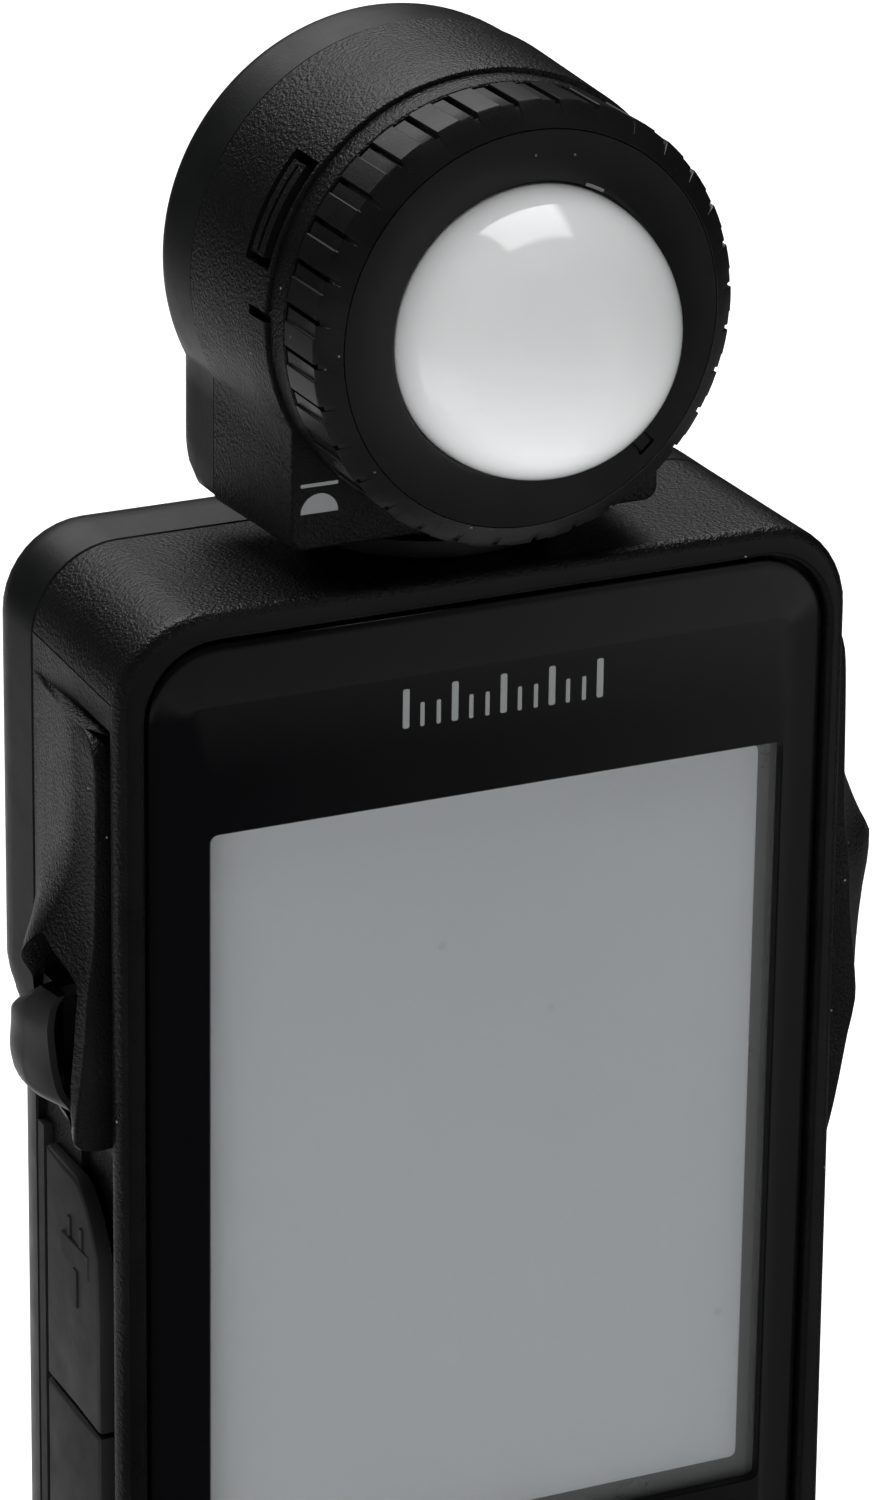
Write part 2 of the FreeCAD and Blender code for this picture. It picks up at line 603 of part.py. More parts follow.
def head_screws():
    y_head = HEAD_SEAM_Y + 2.8
    return Part.makeCompound([pan_screw(x, z, y_head, 1.6, 1.1, 0.85, 6.0) for x, z in HEAD_SCREWS])


# ---- retracting dome ----------------------------------------------------------------
def polar(r, deg, y):
    return V(r * math.cos(math.radians(deg)), y, HEAD_Z + r * math.sin(math.radians(deg)))


def knurl_pad(deg):
    half = 360.0 / RING_PADS * 0.31
    y0 = -3.0
    y1 = RING_BACK - 0.02
    loop = [polar(14.2, deg - half, y0), polar(RING_R, deg - half, y0)]
    loop += [polar(RING_R, deg + half, y0), polar(14.2, deg + half, y0)]
    loop.append(loop[0])
    return Part.Face(Part.makePolygon(loop)).extrude(V(0, y1 - y0, 0))


def retracting_ring():
    profile = Part.makePolygon([
        V(CAM_R, -3.4, 0), V(RING_FACE_R + 0.05, RING_FACE_Y, 0), V(14.3, -4.15, 0), V(14.55, -3.3, 0),
        V(14.45, RING_BACK, 0), V(CAM_R, RING_BACK, 0), V(CAM_R, -3.4, 0)])
    body = Part.Face(profile).revolve(V(0, 0, 0), V(0, 1, 0), 360)
    body.translate(V(0, 0, HEAD_Z))
    pads = [knurl_pad(360.0 / RING_PADS * i) for i in range(RING_PADS)]
    return body.multiFuse(pads).removeSplitter()


def ring_face():
    disc = tube_y(0, HEAD_Z, RING_FACE_R - 0.25, DOME_HOLE_R, RING_FACE_Y, -3.62)
    return disc.cut(box(-0.9, 0.9, RING_FACE_Y - 1, RING_FACE_Y + 0.35, HEAD_Z - 11.4, HEAD_Z - 9.0))


def cam_sleeve():
    body = tube_y(0, HEAD_Z, CAM_R - 0.01, CAM_BORE_R, -3.35, 12.0)
    body = body.cut(tube_y(0, HEAD_Z, CAM_R + 1, CAM_R - 0.06, RING_BACK + 0.1, 20))
    cutters = []
    steps = 30
    for k in range(3):
        for i in range(steps + 1):
            t = i / steps
            deg = 90 + 120 * k + RING_TRAVEL_DEG * t
            y = DOME_TRAVEL * t
            foot = polar(CAM_BORE_R - 0.6, deg, y)
            tip = polar(CAM_R + 0.6, deg, y)
            cutters.append(Part.makeCylinder(PIN_R + 0.14, (tip - foot).Length, foot, tip - foot))
    return body.cut(cutters[0].multiFuse(cutters[1:]))


def guide_sleeve():
    body = tube_y(0, HEAD_Z, GUIDE_R, GUIDE_BORE_R, -3.3, 13.6)
    flange = tube_y(0, HEAD_Z, SHELL_BORE_R - 0.05, GUIDE_BORE_R, 12.6, 14.2)
    body = join([body, flange])
    for k in range(3):
        slot = box(GUIDE_BORE_R - 1, GUIDE_R + 0.4, -PIN_R - 0.08, DOME_TRAVEL + PIN_R + 0.08,
                   HEAD_Z - PIN_R - 0.08, HEAD_Z + PIN_R + 0.08)
        slot.rotate(V(0, 0, HEAD_Z), V(0, -1, 0), 90 + 120 * k)
        body = body.cut(slot)
    return body


def dome_carrier():
    body = tube_y(0, HEAD_Z, GUIDE_BORE_R - 0.08, 9.0, -1.96, 1.6)
    for k in range(3):
        foot = polar(10.4, 90 + 120 * k, 0)
        tip = polar(PIN_REACH, 90 + 120 * k, 0)
        body = body.fuse(Part.makeCylinder(PIN_R, (tip - foot).Length, foot, tip - foot))
    return body.removeSplitter()


def diffuser_dome():
    ball = Part.makeSphere(DOME_R, V(0, DOME_Y, HEAD_Z))
    inner = Part.makeSphere(DOME_R - 0.9, V(0, DOME_Y, HEAD_Z))
    half = box(-20, 20, -30, DOME_Y, HEAD_Z - 20, HEAD_Z + 20)
    cap = ball.cut(inner).common(half)
    skirt = tube_y(0, HEAD_Z, DOME_R, DOME_R - 0.9, DOME_Y, -2.0)
    lip = tube_y(0, HEAD_Z, 10.9, DOME_R - 0.9, -3.1, -2.0)
    return join([cap, skirt, lip])


def filter_glass():
    return rod_y(0, HEAD_Z, 5.2, 10.6, 11.4)


def sensor_holder():
    body = rod_y(0, HEAD_Z, GUIDE_BORE_R - 0.1, 11.4, 13.4)
    return body.cut(rod_y(0, HEAD_Z, 4.6, 10, 15)).cut(rod_y(0, HEAD_Z, 5.3, 10, 11.42))


def photodiode():
    can = rod_y(0, HEAD_Z, 4.1, 11.7, 13.9)
    return can.fuse(rod_y(0, HEAD_Z, 4.5, 13.5, 14.2)).removeSplitter()


def sensor_board():
    return rod_y(0, HEAD_Z, SHELL_BORE_R - 0.2, 14.3, 15.3)


os.makedirs("parts", exist_ok=True)
write(front_shell(), "front_shell")
write(rear_shell(), "rear_shell")
write(display_bezel(), "display_bezel")
write(touch_panel(), "touch_panel")
write(lcd_panel(), "lcd_panel")
write(lcd_backlight(), "lcd_backlight")
write(bezel_tape(), "bezel_tape")
write(main_board(), "main_board")
write(board_chips(), "board_chips")
write(buzzer(), "buzzer")
write(shell_screws(), "shell_screws")
write(board_screws(), "board_screws")
write(front_key(*KEYS[0]), "menu_key")
write(front_key(*KEYS[1]), "power_key")
write(key_switches(), "key_switches")
write(mirrored(side_panel(WING, PORT_TOP)), "side_panel_left")
write(side_panel(WING + WING_TAIL, 54.1), "side_panel_right")
write(mirrored(paddle()), "measuring_button")
write(paddle(), "memory_button")
write(side_switches(), "side_switches")
write(usb_cap(), "usb_cap")
write(sync_cap(), "sync_cap")
write(cap_strip(), "cap_strip")
write(usb_connector(), "usb_connector")
write(sync_terminal(), "sync_terminal")
write(battery_tray(), "battery_tray")
write(battery(-BATTERY_X, -1), "battery_left")
write(battery(BATTERY_X, 1), "battery_right")
write(contact_plates(), "contact_plates")
write(contact_springs(), "contact_springs")
write(battery_cover(), "battery_cover")
write(tripod_bush(), "tripod_bush")
write(strap_bar(), "strap_bar")
write(swivel_seat(), "swivel_seat")
write(neck_spigot(), "neck_spigot")
write(swivel_clip(), "swivel_clip")
write(wave_washer(), "wave_washer")
write(head_front_shell(), "head_front_shell")
write(head_rear_cover(), "head_rear_cover")
write(head_screws(), "head_screws")
write(retracting_ring(), "retracting_ring")
write(ring_face(), "ring_face")
write(cam_sleeve(), "cam_sleeve")
write(guide_sleeve(), "guide_sleeve")
write(dome_carrier(), "dome_carrier")
write(diffuser_dome(), "diffuser_dome")
write(filter_glass(), "filter_glass")
write(sensor_holder(), "sensor_holder")
write(photodiode(), "photodiode")
write(sensor_board(), "sensor_board")
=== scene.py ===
import json
import math

import bmesh
import bpy
from mathutils import Matrix, Vector


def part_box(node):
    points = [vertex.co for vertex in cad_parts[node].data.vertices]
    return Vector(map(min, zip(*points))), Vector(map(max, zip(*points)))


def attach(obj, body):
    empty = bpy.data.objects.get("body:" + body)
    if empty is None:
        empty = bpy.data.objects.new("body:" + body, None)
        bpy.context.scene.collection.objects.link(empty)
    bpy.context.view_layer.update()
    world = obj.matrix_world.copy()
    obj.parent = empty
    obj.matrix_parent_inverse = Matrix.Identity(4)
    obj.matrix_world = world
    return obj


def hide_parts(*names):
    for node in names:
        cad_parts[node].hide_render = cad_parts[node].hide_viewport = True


# Handheld light meter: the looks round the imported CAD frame.
# Shapes are worked out in millimetres with the front of the case at y = 0, x to the right,
# y to the back and z up; place() turns them into the frame's metres.

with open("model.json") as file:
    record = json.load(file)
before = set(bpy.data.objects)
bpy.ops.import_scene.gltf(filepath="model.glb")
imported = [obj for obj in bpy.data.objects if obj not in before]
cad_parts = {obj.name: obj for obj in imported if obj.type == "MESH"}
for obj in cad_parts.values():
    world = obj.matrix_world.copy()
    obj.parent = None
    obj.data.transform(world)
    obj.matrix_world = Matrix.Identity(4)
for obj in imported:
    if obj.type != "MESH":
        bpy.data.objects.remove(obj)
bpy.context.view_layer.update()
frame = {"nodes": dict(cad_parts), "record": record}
nodes = frame["nodes"]
MM = 0.001
FRONT_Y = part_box("front_shell")[0][1] / MM


def in_mm(point):
    """A point of the frame in millimetres, with the case front at y = 0."""
    return point[0] / MM, point[1] / MM - FRONT_Y, point[2] / MM


def low(node):
    """Lowest corner of a CAD node."""
    return in_mm(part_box(node)[0])


def high(node):
    """Highest corner of a CAD node."""
    return in_mm(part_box(node)[1])


# ---- main sizes; HW is half a width and R a radius ----
SEAM_Y = 16.0
CASE_HW = 27.4
CASE_DRAFT = 0.6
CASE_TOP = high("front_shell")[2]
CASE_R = 6.3
TOP_DRAFT = 0.2
WALL = 2.0
CASE_BACK = high("rear_shell")[1]
WINDOW_HW = high("display_bezel")[0]
WINDOW_Z = (low("display_bezel")[2], high("display_bezel")[2])
WINDOW_R = 4.9
# The window's opening, then the grey area that shows in it.
OPEN_X = (-20.75, 21.95)
OPEN_Z = (33.6, 90.35)
SCREEN_X = (-20.14, 20.82)
SCREEN_Z = (35.0, 89.86)
PANEL_Z = high("side_panel_left")[2]
HEAD_Z = (high("retracting_ring")[2] + low("retracting_ring")[2]) / 2
HEAD_R = high("head_front_shell")[2] - HEAD_Z
HEAD_BASE_Z = low("head_front_shell")[2]
HEAD_BASE_HW = 14.3
HEAD_FRONT = 3.3
HEAD_DRAFT = 0.045
HEAD_SEAM_Y = low("head_rear_cover")[1] - 0.08
SWIVEL_Y = 11.84
HEAD_BACK = high("head_rear_cover")[1]
RING_R = 15.1
RING_FACE_R = 13.42
RING_FRONT = low("retracting_ring")[1]
RING_BACK = high("retracting_ring")[1]
RING_PADS = 32
DOME_R = (high("ring_face")[2] - low("ring_face")[2]) / 2 - 3.52
DOME_Y = low("diffuser_dome")[1] + DOME_R
KEY_X = 11.0
KEY_HOLE_HW = 5.2
KEY_HOLE_Z = (15.1, 19.9)
NECK_HOLE_R = 8.3
SPIGOT_HOLE_R = 6.07
HEAD_BORE_R = 13.3
SEAM_GAP = 0.08
# How far out cutters reach at the sides of the case.
OUTSIDE = 30.0


def place(x, y, z):
    """A point in millimetres as a point of the frame."""
    return x * MM, (y + FRONT_Y) * MM, z * MM


# ---- mesh helpers ----
def new_piece(name, verts, faces, material, crease=32.0):
    """A mesh object from millimetre points, shaded smooth below the crease angle."""
    mesh = bpy.data.meshes.new(name)
    mesh.from_pydata([place(*v) for v in verts], [], faces)
    obj = bpy.data.objects.new(name, mesh)
    bpy.context.collection.objects.link(obj)
    settle(obj, material, crease)
    return obj


def settle(obj, material, crease):
    """Merged points, faces turned outwards, one material, creases marked by angle."""
    mesh = obj.data
    work = bmesh.new()
    work.from_mesh(mesh)
    bmesh.ops.remove_doubles(work, verts=work.verts, dist=1e-7)
    bmesh.ops.dissolve_degenerate(work, edges=work.edges, dist=1e-7)
    bmesh.ops.recalc_face_normals(work, faces=work.faces)
    if work.calc_volume(signed=True) < 0:
        bmesh.ops.reverse_faces(work, faces=work.faces)
    work.to_mesh(mesh)
    work.free()
    mesh.materials.clear()
    mesh.materials.append(material)
    for poly in mesh.polygons:
        poly.material_index = 0
        poly.use_smooth = True
    mesh.set_sharp_from_angle(angle=math.radians(crease))
    mesh.update()


def loft(loops, ring=False):
    """Points and faces through loops of equal length; ring joins the last loop to the first."""
    count = len(loops[0])
    verts = [p for loop in loops for p in loop]
    faces = []
    last = len(loops) if ring else len(loops) - 1
    for i in range(last):
        a = i * count
        b = ((i + 1) % len(loops)) * count
        for j in range(count):
            k = (j + 1) % count
            faces.append((a + j, a + k, b + k, b + j))
    if not ring:
        faces.append(tuple(reversed(range(count))))
        faces.append(tuple(range((len(loops) - 1) * count, len(loops) * count)))
    return verts, faces


def merged(*meshes):
    """Several (points, faces) as one."""
    verts, faces = [], []
    for part_verts, part_faces in meshes:
        start = len(verts)
        verts += part_verts
        faces += [tuple(start + i for i in face) for face in part_faces]
    return verts, faces


def block(x0, x1, y0, y1, z0, z1):
    """A plain box."""
    return loft([[(x, y0, z0), (x, y1, z0), (x, y1, z1), (x, y0, z1)] for x in (x0, x1)])


def side_block(side, inner, outer, y0, y1, z0, z1):
    """A block on one side of the case, from x = inner to x = outer."""
    return block(*sorted((side * inner, side * outer)), y0, y1, z0, z1)


def turned(profile, angle):
    """A (radius, y) profile at one angle round the head's axis."""
    return [(r * math.cos(angle), y, HEAD_Z + r * math.sin(angle)) for r, y in profile]


def spin(profile, steps):
    """A closed (radius, y) profile turned all the way round the head's axis."""
    return loft([turned(profile, 2 * math.pi * i / steps) for i in range(steps)], ring=True)


def circle(cx, cy, r, steps):
    """Points of a full circle in a plane."""
    return [(cx + r * math.cos(2 * math.pi * i / steps), cy + r * math.sin(2 * math.pi * i / steps))
            for i in range(steps)]


def disc(x, z, r, y0, y1):
    """A round plug along y."""
    return loft([[(px, y, pz) for px, pz in circle(x, z, r, 48)] for y in (y0, y1)])


def post(x, y, r, z0, z1):
    """A round plug along z."""
    return loft([[(px, py, z) for px, py in circle(x, y, r, 64)] for z in (z0, z1)])


def wedge(r0, r1, deg0, deg1, y0, y1, steps=16):
    """A stretch of a flat ring round the head's axis."""
    section = [(r0, y0), (r1, y0), (r1, y1), (r0, y1)]
    return loft([turned(section, math.radians(deg0 + (deg1 - deg0) * i / steps)) for i in range(steps + 1)])


def rounded(x0, x1, z0, z1, r, y, steps=10):
    """A rounded rectangle at depth y as a loop of (x, y, z)."""
    centres = [(x1 - r, z1 - r, 0), (x0 + r, z1 - r, 90), (x0 + r, z0 + r, 180), (x1 - r, z0 + r, 270)]
    loop = []
    for cx, cz, turn in centres:
        for i in range(steps + 1):
            a = math.radians(turn + 90 * i / steps)
            loop.append((cx + r * math.cos(a), y, cz + r * math.sin(a)))
    return loop


def combine(obj, how, parts, crease):
    """Each part added to obj or taken away from it; the parts are thrown away."""
    for verts, faces in parts:
        tool = new_piece("tool", verts, faces, obj.data.materials[0])
        step = obj.modifiers.new("step", "BOOLEAN")
        step.operation = how
        step.solver = "EXACT"
        step.object = tool
        apply_all(obj)
        bpy.data.objects.remove(tool)
    settle(obj, obj.data.materials[0], crease)


def carve(obj, *cutters, crease=32.0):
    """Each cutter taken away from obj."""
    combine(obj, "DIFFERENCE", cutters, crease)


def unite(obj, *additions, crease=32.0):
    """Each addition joined to obj."""
    combine(obj, "UNION", additions, crease)


def apply_all(obj):
    """The object's modifiers worked into its mesh."""
    graph = bpy.context.evaluated_depsgraph_get()
    mesh = bpy.data.meshes.new_from_object(obj.evaluated_get(graph))
    obj.modifiers.clear()
    obj.data = mesh


def track(at, knots):
    """Smooth value at a place along (place, value) knots, without overshoot."""
    knots = sorted(knots)
    if at <= knots[0][0]:
        return knots[0][1]
    if at >= knots[-1][0]:
        return knots[-1][1]
    slopes = [(b[1] - a[1]) / (b[0] - a[0]) for a, b in zip(knots, knots[1:])]
    ends = [slopes[0]]
    for s, t in zip(slopes, slopes[1:]):
        ends.append(0.0 if s * t <= 0 else 2 * s * t / (s + t))
    ends.append(slopes[-1])
    for i, (a, b) in enumerate(zip(knots, knots[1:])):
        if at <= b[0]:
            h = b[0] - a[0]
            t = (at - a[0]) / h
            return ((2 * t ** 3 - 3 * t ** 2 + 1) * a[1] + (t ** 3 - 2 * t ** 2 + t) * h * ends[i]
                    + (3 * t ** 2 - 2 * t ** 3) * b[1] + (t ** 3 - t ** 2) * h * ends[i + 1])


def bezier(p0, p1, p2, p3, steps):
    """Points along a curve in a plane, from p0 to p3."""
    out = []
    for i in range(steps + 1):
        t = i / steps
        weights = ((1 - t) ** 3, 3 * t * (1 - t) ** 2, 3 * t * t * (1 - t), t ** 3)
        out.append(tuple(sum(k * p[axis] for k, p in zip(weights, (p0, p1, p2, p3))) for axis in range(2)))
    return out


def corner(cx, cy, r, deg0, deg1, steps=4):
    """Arc points in a plane."""
    return [(cx + r * math.cos(math.radians(deg0 + (deg1 - deg0) * i / steps)),
             cy + r * math.sin(math.radians(deg0 + (deg1 - deg0) * i / steps))) for i in range(steps + 1)]


def flipped(mesh):
    """Mirror image to the other side of the meter."""
    verts, faces = mesh
    return [(-x, y, z) for x, y, z in verts], [tuple(reversed(f)) for f in faces]


# ---- materials ----
class Paint:
    """A Principled material and the few nodes that every finish here is made from."""

    def __init__(self, name, colour, roughness, **sockets):
        self.mat = bpy.data.materials.new(name)
        self.mat.use_nodes = True
        self.tree = self.mat.node_tree
        self.shader = self.tree.nodes["Principled BSDF"]
        self.put("Base Color", (*colour[:3], 1.0))
        self.put("Roughness", roughness)
        for key, value in sockets.items():
            self.put(key.replace("_", " "), value)
        self.coords = self.tree.nodes.new("ShaderNodeTexCoord").outputs["Object"]
        self.normal = None

    def put(self, socket, value):
        self.shader.inputs[socket].default_value = value

    def link(self, a, b):
        self.tree.links.new(a, b)

    def noise(self, size_mm, detail, stretch=None, rough=0.55):
        node = self.tree.nodes.new("ShaderNodeTexNoise")
        node.inputs["Scale"].default_value = 1 / (size_mm * MM)
        node.inputs["Detail"].default_value = detail
        node.inputs["Roughness"].default_value = rough
        source = self.coords
        if stretch:
            mapping = self.tree.nodes.new("ShaderNodeMapping")
            mapping.inputs["Scale"].default_value = stretch
            self.link(self.coords, mapping.inputs["Vector"])
            source = mapping.outputs["Vector"]
        self.link(source, node.inputs["Vector"])
        return node.outputs["Fac"]

    def cells(self, size_mm):
        """Distance to the nearest of many scattered points."""
        node = self.tree.nodes.new("ShaderNodeTexVoronoi")
        node.inputs["Scale"].default_value = 1 / (size_mm * MM)
        self.link(self.coords, node.inputs["Vector"])
        return node.outputs["Distance"]

    def spread(self, value, from_low, from_high, to_low, to_high):
        node = self.tree.nodes.new("ShaderNodeMapRange")
        for key, number in zip(("From Min", "From Max", "To Min", "To Max"),
                               (from_low, from_high, to_low, to_high)):
            node.inputs[key].default_value = number
        self.link(value, node.inputs["Value"])
        return node.outputs["Result"]

    def mix(self, value):
        """A node that mixes two colours by a value."""
        node = self.tree.nodes.new("ShaderNodeMix")
        node.data_type = "RGBA"
        self.link(value, node.inputs["Factor"])
        return node

    def tone(self, value, shade_a, shade_b):
        """Base colour between two shades."""
        node = self.mix(value)
        node.inputs["A"].default_value = (*shade_a, 1.0)
        node.inputs["B"].default_value = (*shade_b, 1.0)
        return node.outputs["Result"]

    def blend(self, value, under, shade):
        """Another shade over a base colour that is already there."""
        node = self.mix(value)
        node.inputs["B"].default_value = (*shade, 1.0)
        self.link(under, node.inputs["A"])
        return node.outputs["Result"]

    def base(self, colour):
        self.link(colour, self.shader.inputs["Base Color"])

    def gloss(self, value):
        self.link(value, self.shader.inputs["Roughness"])

    def bump(self, value, depth_mm, strength=1.0):
        node = self.tree.nodes.new("ShaderNodeBump")
        node.inputs["Distance"].default_value = depth_mm * MM
        node.inputs["Strength"].default_value = strength
        self.link(value, node.inputs["Height"])
        if self.normal:
            self.link(self.normal, node.inputs["Normal"])
        self.normal = node.outputs["Normal"]
        self.link(self.normal, self.shader.inputs["Normal"])


def scaled(colour, k):
    """A colour made lighter or darker."""
    return tuple(min(1.0, c * k) for c in colour[:3])


def moulded(name, colour, roughness, grain_mm, depth_mm, specks=0.0, wear=0.25, **sockets):
    """Moulded plastic: spark-eroded or satin grain, slow mottling and, where specks is set, rare pale specks
    painted into the colour as glints off the grain.
    """
    p = Paint(name, colour, roughness, **sockets)
    slow = p.noise(9, 4.0)
    shade = p.tone(p.spread(slow, 0.35, 0.68, 0, 1), scaled(colour, 1 - wear), scaled(colour, 1 + wear))
    # Painted highlights: pale dots in the base colour stand in for the grain glinting.
    if specks:
        dots = p.spread(p.cells(2.2), 0.05, 0.02, 0.0, specks)
        shade = p.blend(dots, shade, (0.5, 0.5, 0.52))
    p.base(shade)
    p.gloss(p.spread(p.noise(2.5, 3.0), 0.3, 0.7, roughness * 0.88, min(1.0, roughness * 1.12)))
    p.bump(p.noise(grain_mm, 2.0, rough=0.6), depth_mm, 0.7)
    return p.mat


def lacquered(name, colour, roughness, **sockets):
    """Glossy plastic or glass front: near mirror, faint smears and a very shallow waviness."""
    p = Paint(name, colour, roughness, **sockets)
    p.base(p.tone(p.noise(14, 3.0), scaled(colour, 0.85), scaled(colour, 1.15)))
    p.gloss(p.spread(p.noise(6, 5.0), 0.35, 0.75, roughness, roughness * 2.2 + 0.01))
    p.bump(p.noise(20, 1.0), 0.004, 0.3)
    return p.mat


def metal(name, colour, roughness, stretch=(1, 1, 12)):
    """Stamped, turned or plated metal with fine lines along one direction."""
    p = Paint(name, colour, roughness, Metallic=1.0)
    lines = p.noise(0.9, 4.0, stretch=stretch)
    p.base(p.tone(lines, scaled(colour, 0.78), scaled(colour, 1.08)))
    p.gloss(p.spread(lines, 0.3, 0.7, roughness * 0.75, roughness * 1.3))
    p.bump(lines, 0.006, 0.5)
    return p.mat


def clear(name, colour, alpha, roughness):
    """Clear cover seen almost straight through."""
    p = Paint(name, colour, roughness, Alpha=alpha, IOR=1.5)
    p.gloss(p.spread(p.noise(7, 4.0), 0.3, 0.8, roughness, roughness + 0.05))
    p.bump(p.noise(25, 1.0), 0.003, 0.2)
    return p.mat


def opal(name):
    """Moulded translucent white with a polished skin."""
    p = Paint(name, (0.86, 0.865, 0.87), 0.1, Subsurface_Weight=0.35, Subsurface_Scale=0.004,
              Coat_Weight=0.8, Coat_Roughness=0.02)
    p.put("Subsurface Radius", (1.0, 0.95, 0.9))
    p.base(p.tone(p.noise(8, 2.0), (0.84, 0.845, 0.85), (0.88, 0.885, 0.89)))
    p.gloss(p.spread(p.noise(5, 3.0), 0.3, 0.7, 0.07, 0.13))
    p.bump(p.noise(3, 2.0), 0.002, 0.3)
    return p.mat


def display(name):
    """Unlit display: even cool grey with a slow drift and a few faint specks."""
    p = Paint(name, (0.33, 0.348, 0.36), 0.5, Specular_IOR_Level=0.15)
    slow = p.noise(30, 1.0)
    shade = p.tone(p.spread(slow, 0.3, 0.7, 0, 1), (0.325, 0.343, 0.355), (0.335, 0.353, 0.365))
    dots = p.spread(p.cells(9.0), 0.045, 0.03, 0.0, 0.35)
    p.base(p.blend(dots, shade, (0.2, 0.21, 0.22)))
    p.gloss(p.spread(p.noise(12, 2.0), 0.3, 0.7, 0.46, 0.54))
    p.bump(slow, 0.002, 0.1)
    return p.mat


def circuit_board(name):
    """Circuit board: green mask with copper tracks showing as paler lines."""
    p = Paint(name, (0.02, 0.11, 0.055), 0.35)
    tracks = p.tree.nodes.new("ShaderNodeTexBrick")
    tracks.inputs["Scale"].default_value = 1 / (2.4 * MM)
    tracks.inputs["Mortar Size"].default_value = 0.06
    for socket, shade in (("Color1", (0.02, 0.11, 0.055)), ("Color2", (0.018, 0.095, 0.05)),
                          ("Mortar", (0.05, 0.2, 0.1))):
        tracks.inputs[socket].default_value = (*shade, 1)
    turn = p.tree.nodes.new("ShaderNodeMapping")
    turn.inputs["Rotation"].default_value = (math.radians(90), 0, 0)
    p.link(p.coords, turn.inputs["Vector"])
    p.link(turn.outputs["Vector"], tracks.inputs["Vector"])
    p.base(tracks.outputs["Color"])
    p.bump(p.noise(0.8, 3.0), 0.01, 0.4)
    return p.mat


MATERIALS = {
    "case_grain": moulded("case_grain", (0.005, 0.005, 0.0055), 0.32, 0.26, 0.17, specks=0.5),
    "back_charcoal": moulded("back_charcoal", (0.006, 0.0067, 0.0064), 0.36, 0.3, 0.02),
    "button_satin": moulded("button_satin", (0.024, 0.024, 0.025), 0.33, 0.5, 0.004),
    "bezel_gloss": lacquered("bezel_gloss", (0.0035, 0.0034, 0.004), 0.03, IOR=1.5, Coat_Weight=0.0),
    "touch_glass": clear("touch_glass", (0.9, 0.92, 0.92), 0.05, 0.03),
    "lcd_grey": lacquered("lcd_grey", (0.01, 0.01, 0.011), 0.25),
    "tin_frame": metal("tin_frame", (0.03, 0.03, 0.032), 0.45),
    "tape_black": moulded("tape_black", (0.015, 0.015, 0.015), 0.8, 0.6, 0.05),
    "board_green": circuit_board("board_green"),
    "chip_black": moulded("chip_black", (0.02, 0.02, 0.02), 0.5, 0.15, 0.01),
    "switch_metal": metal("switch_metal", (0.62, 0.62, 0.62), 0.28),
    "screw_steel": metal("screw_steel", (0.42, 0.42, 0.43), 0.3),
    "rubber_black": moulded("rubber_black", (0.022, 0.022, 0.023), 0.55, 0.28, 0.012, wear=0.2),
    "terminal_nickel": metal("terminal_nickel", (0.7, 0.7, 0.68), 0.16),
    "inner_plastic": moulded("inner_plastic", (0.014, 0.014, 0.015), 0.5, 0.35, 0.012),
    "cell_wrap": lacquered("cell_wrap", (0.06, 0.08, 0.1), 0.12),
    "contact_nickel": metal("contact_nickel", (0.7, 0.69, 0.66), 0.2),
    "bush_brass": metal("bush_brass", (0.72, 0.55, 0.28), 0.22, stretch=(3, 3, 1)),
    "ring_black": moulded("ring_black", (0.008, 0.0078, 0.0085), 0.3, 0.28, 0.02, specks=0.25),
    "dome_white": opal("dome_white"),
    "filter_green": clear("filter_green", (0.3, 0.55, 0.42), 0.5, 0.04),
    "diode_can": metal("diode_can", (0.7, 0.62, 0.4), 0.25),
}
RIM = moulded("rim_satin", (0.0026, 0.0024, 0.003), 0.3, 0.6, 0.003)
FACE = moulded("ring_face_satin", (0.0046, 0.0043, 0.005), 0.4, 0.5, 0.004, specks=0.25)
# Pale grey for the printed marks, also used for the painted highlight on the ring face.
PRINT_AND_HIGHLIGHT = moulded("print_and_highlight_grey", (0.26, 0.27, 0.275), 0.5, 0.3, 0.004, wear=0.08)
SCREEN = display("screen_grey")

for row in frame["record"]["subparts"]:
    mesh = nodes[row["node"]].data
    mesh.materials.clear()
    mesh.materials.append(MATERIALS[row["material_slot"]])


def stands_for(obj, body, slot, *names):
    """The piece rides on a body and takes the place of the CAD nodes named; the slot argument is not used."""
    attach(obj, body)
    if names:
        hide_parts(*names)


# ---- case, front half ----
def side_x(y):
    """Half width of the case at depth y; its sides are drafted."""
    return CASE_HW - CASE_DRAFT * y / SEAM_Y


def leaning(loop):
    """The case draws in a little towards its top right corner."""
    by_height = [(84.0, 0.0), (92.0, 0.35), (98.6, 0.7), (106.0, 0.9)]
    out = []
    for x, y, z in loop:
        share = max(0.0, x / CASE_HW) ** 2 * max(0.0, 1.0 - y / SEAM_Y)
        out.append((x - track(z, by_height) * share, y, z))
    return out


def window_loop(grow, y):
    """The window's outline at depth y, grown outwards."""
    hw = WINDOW_HW + grow
    return rounded(-hw, hw, WINDOW_Z[0] - grow, WINDOW_Z[1] + grow, WINDOW_R + grow, y)


def edge_share(degrees):
    """How far in and how deep a rounded edge lies at an angle, as shares of its radius."""
    a = math.radians(degrees)
    return 1 - math.sin(a), 1 - math.cos(a)


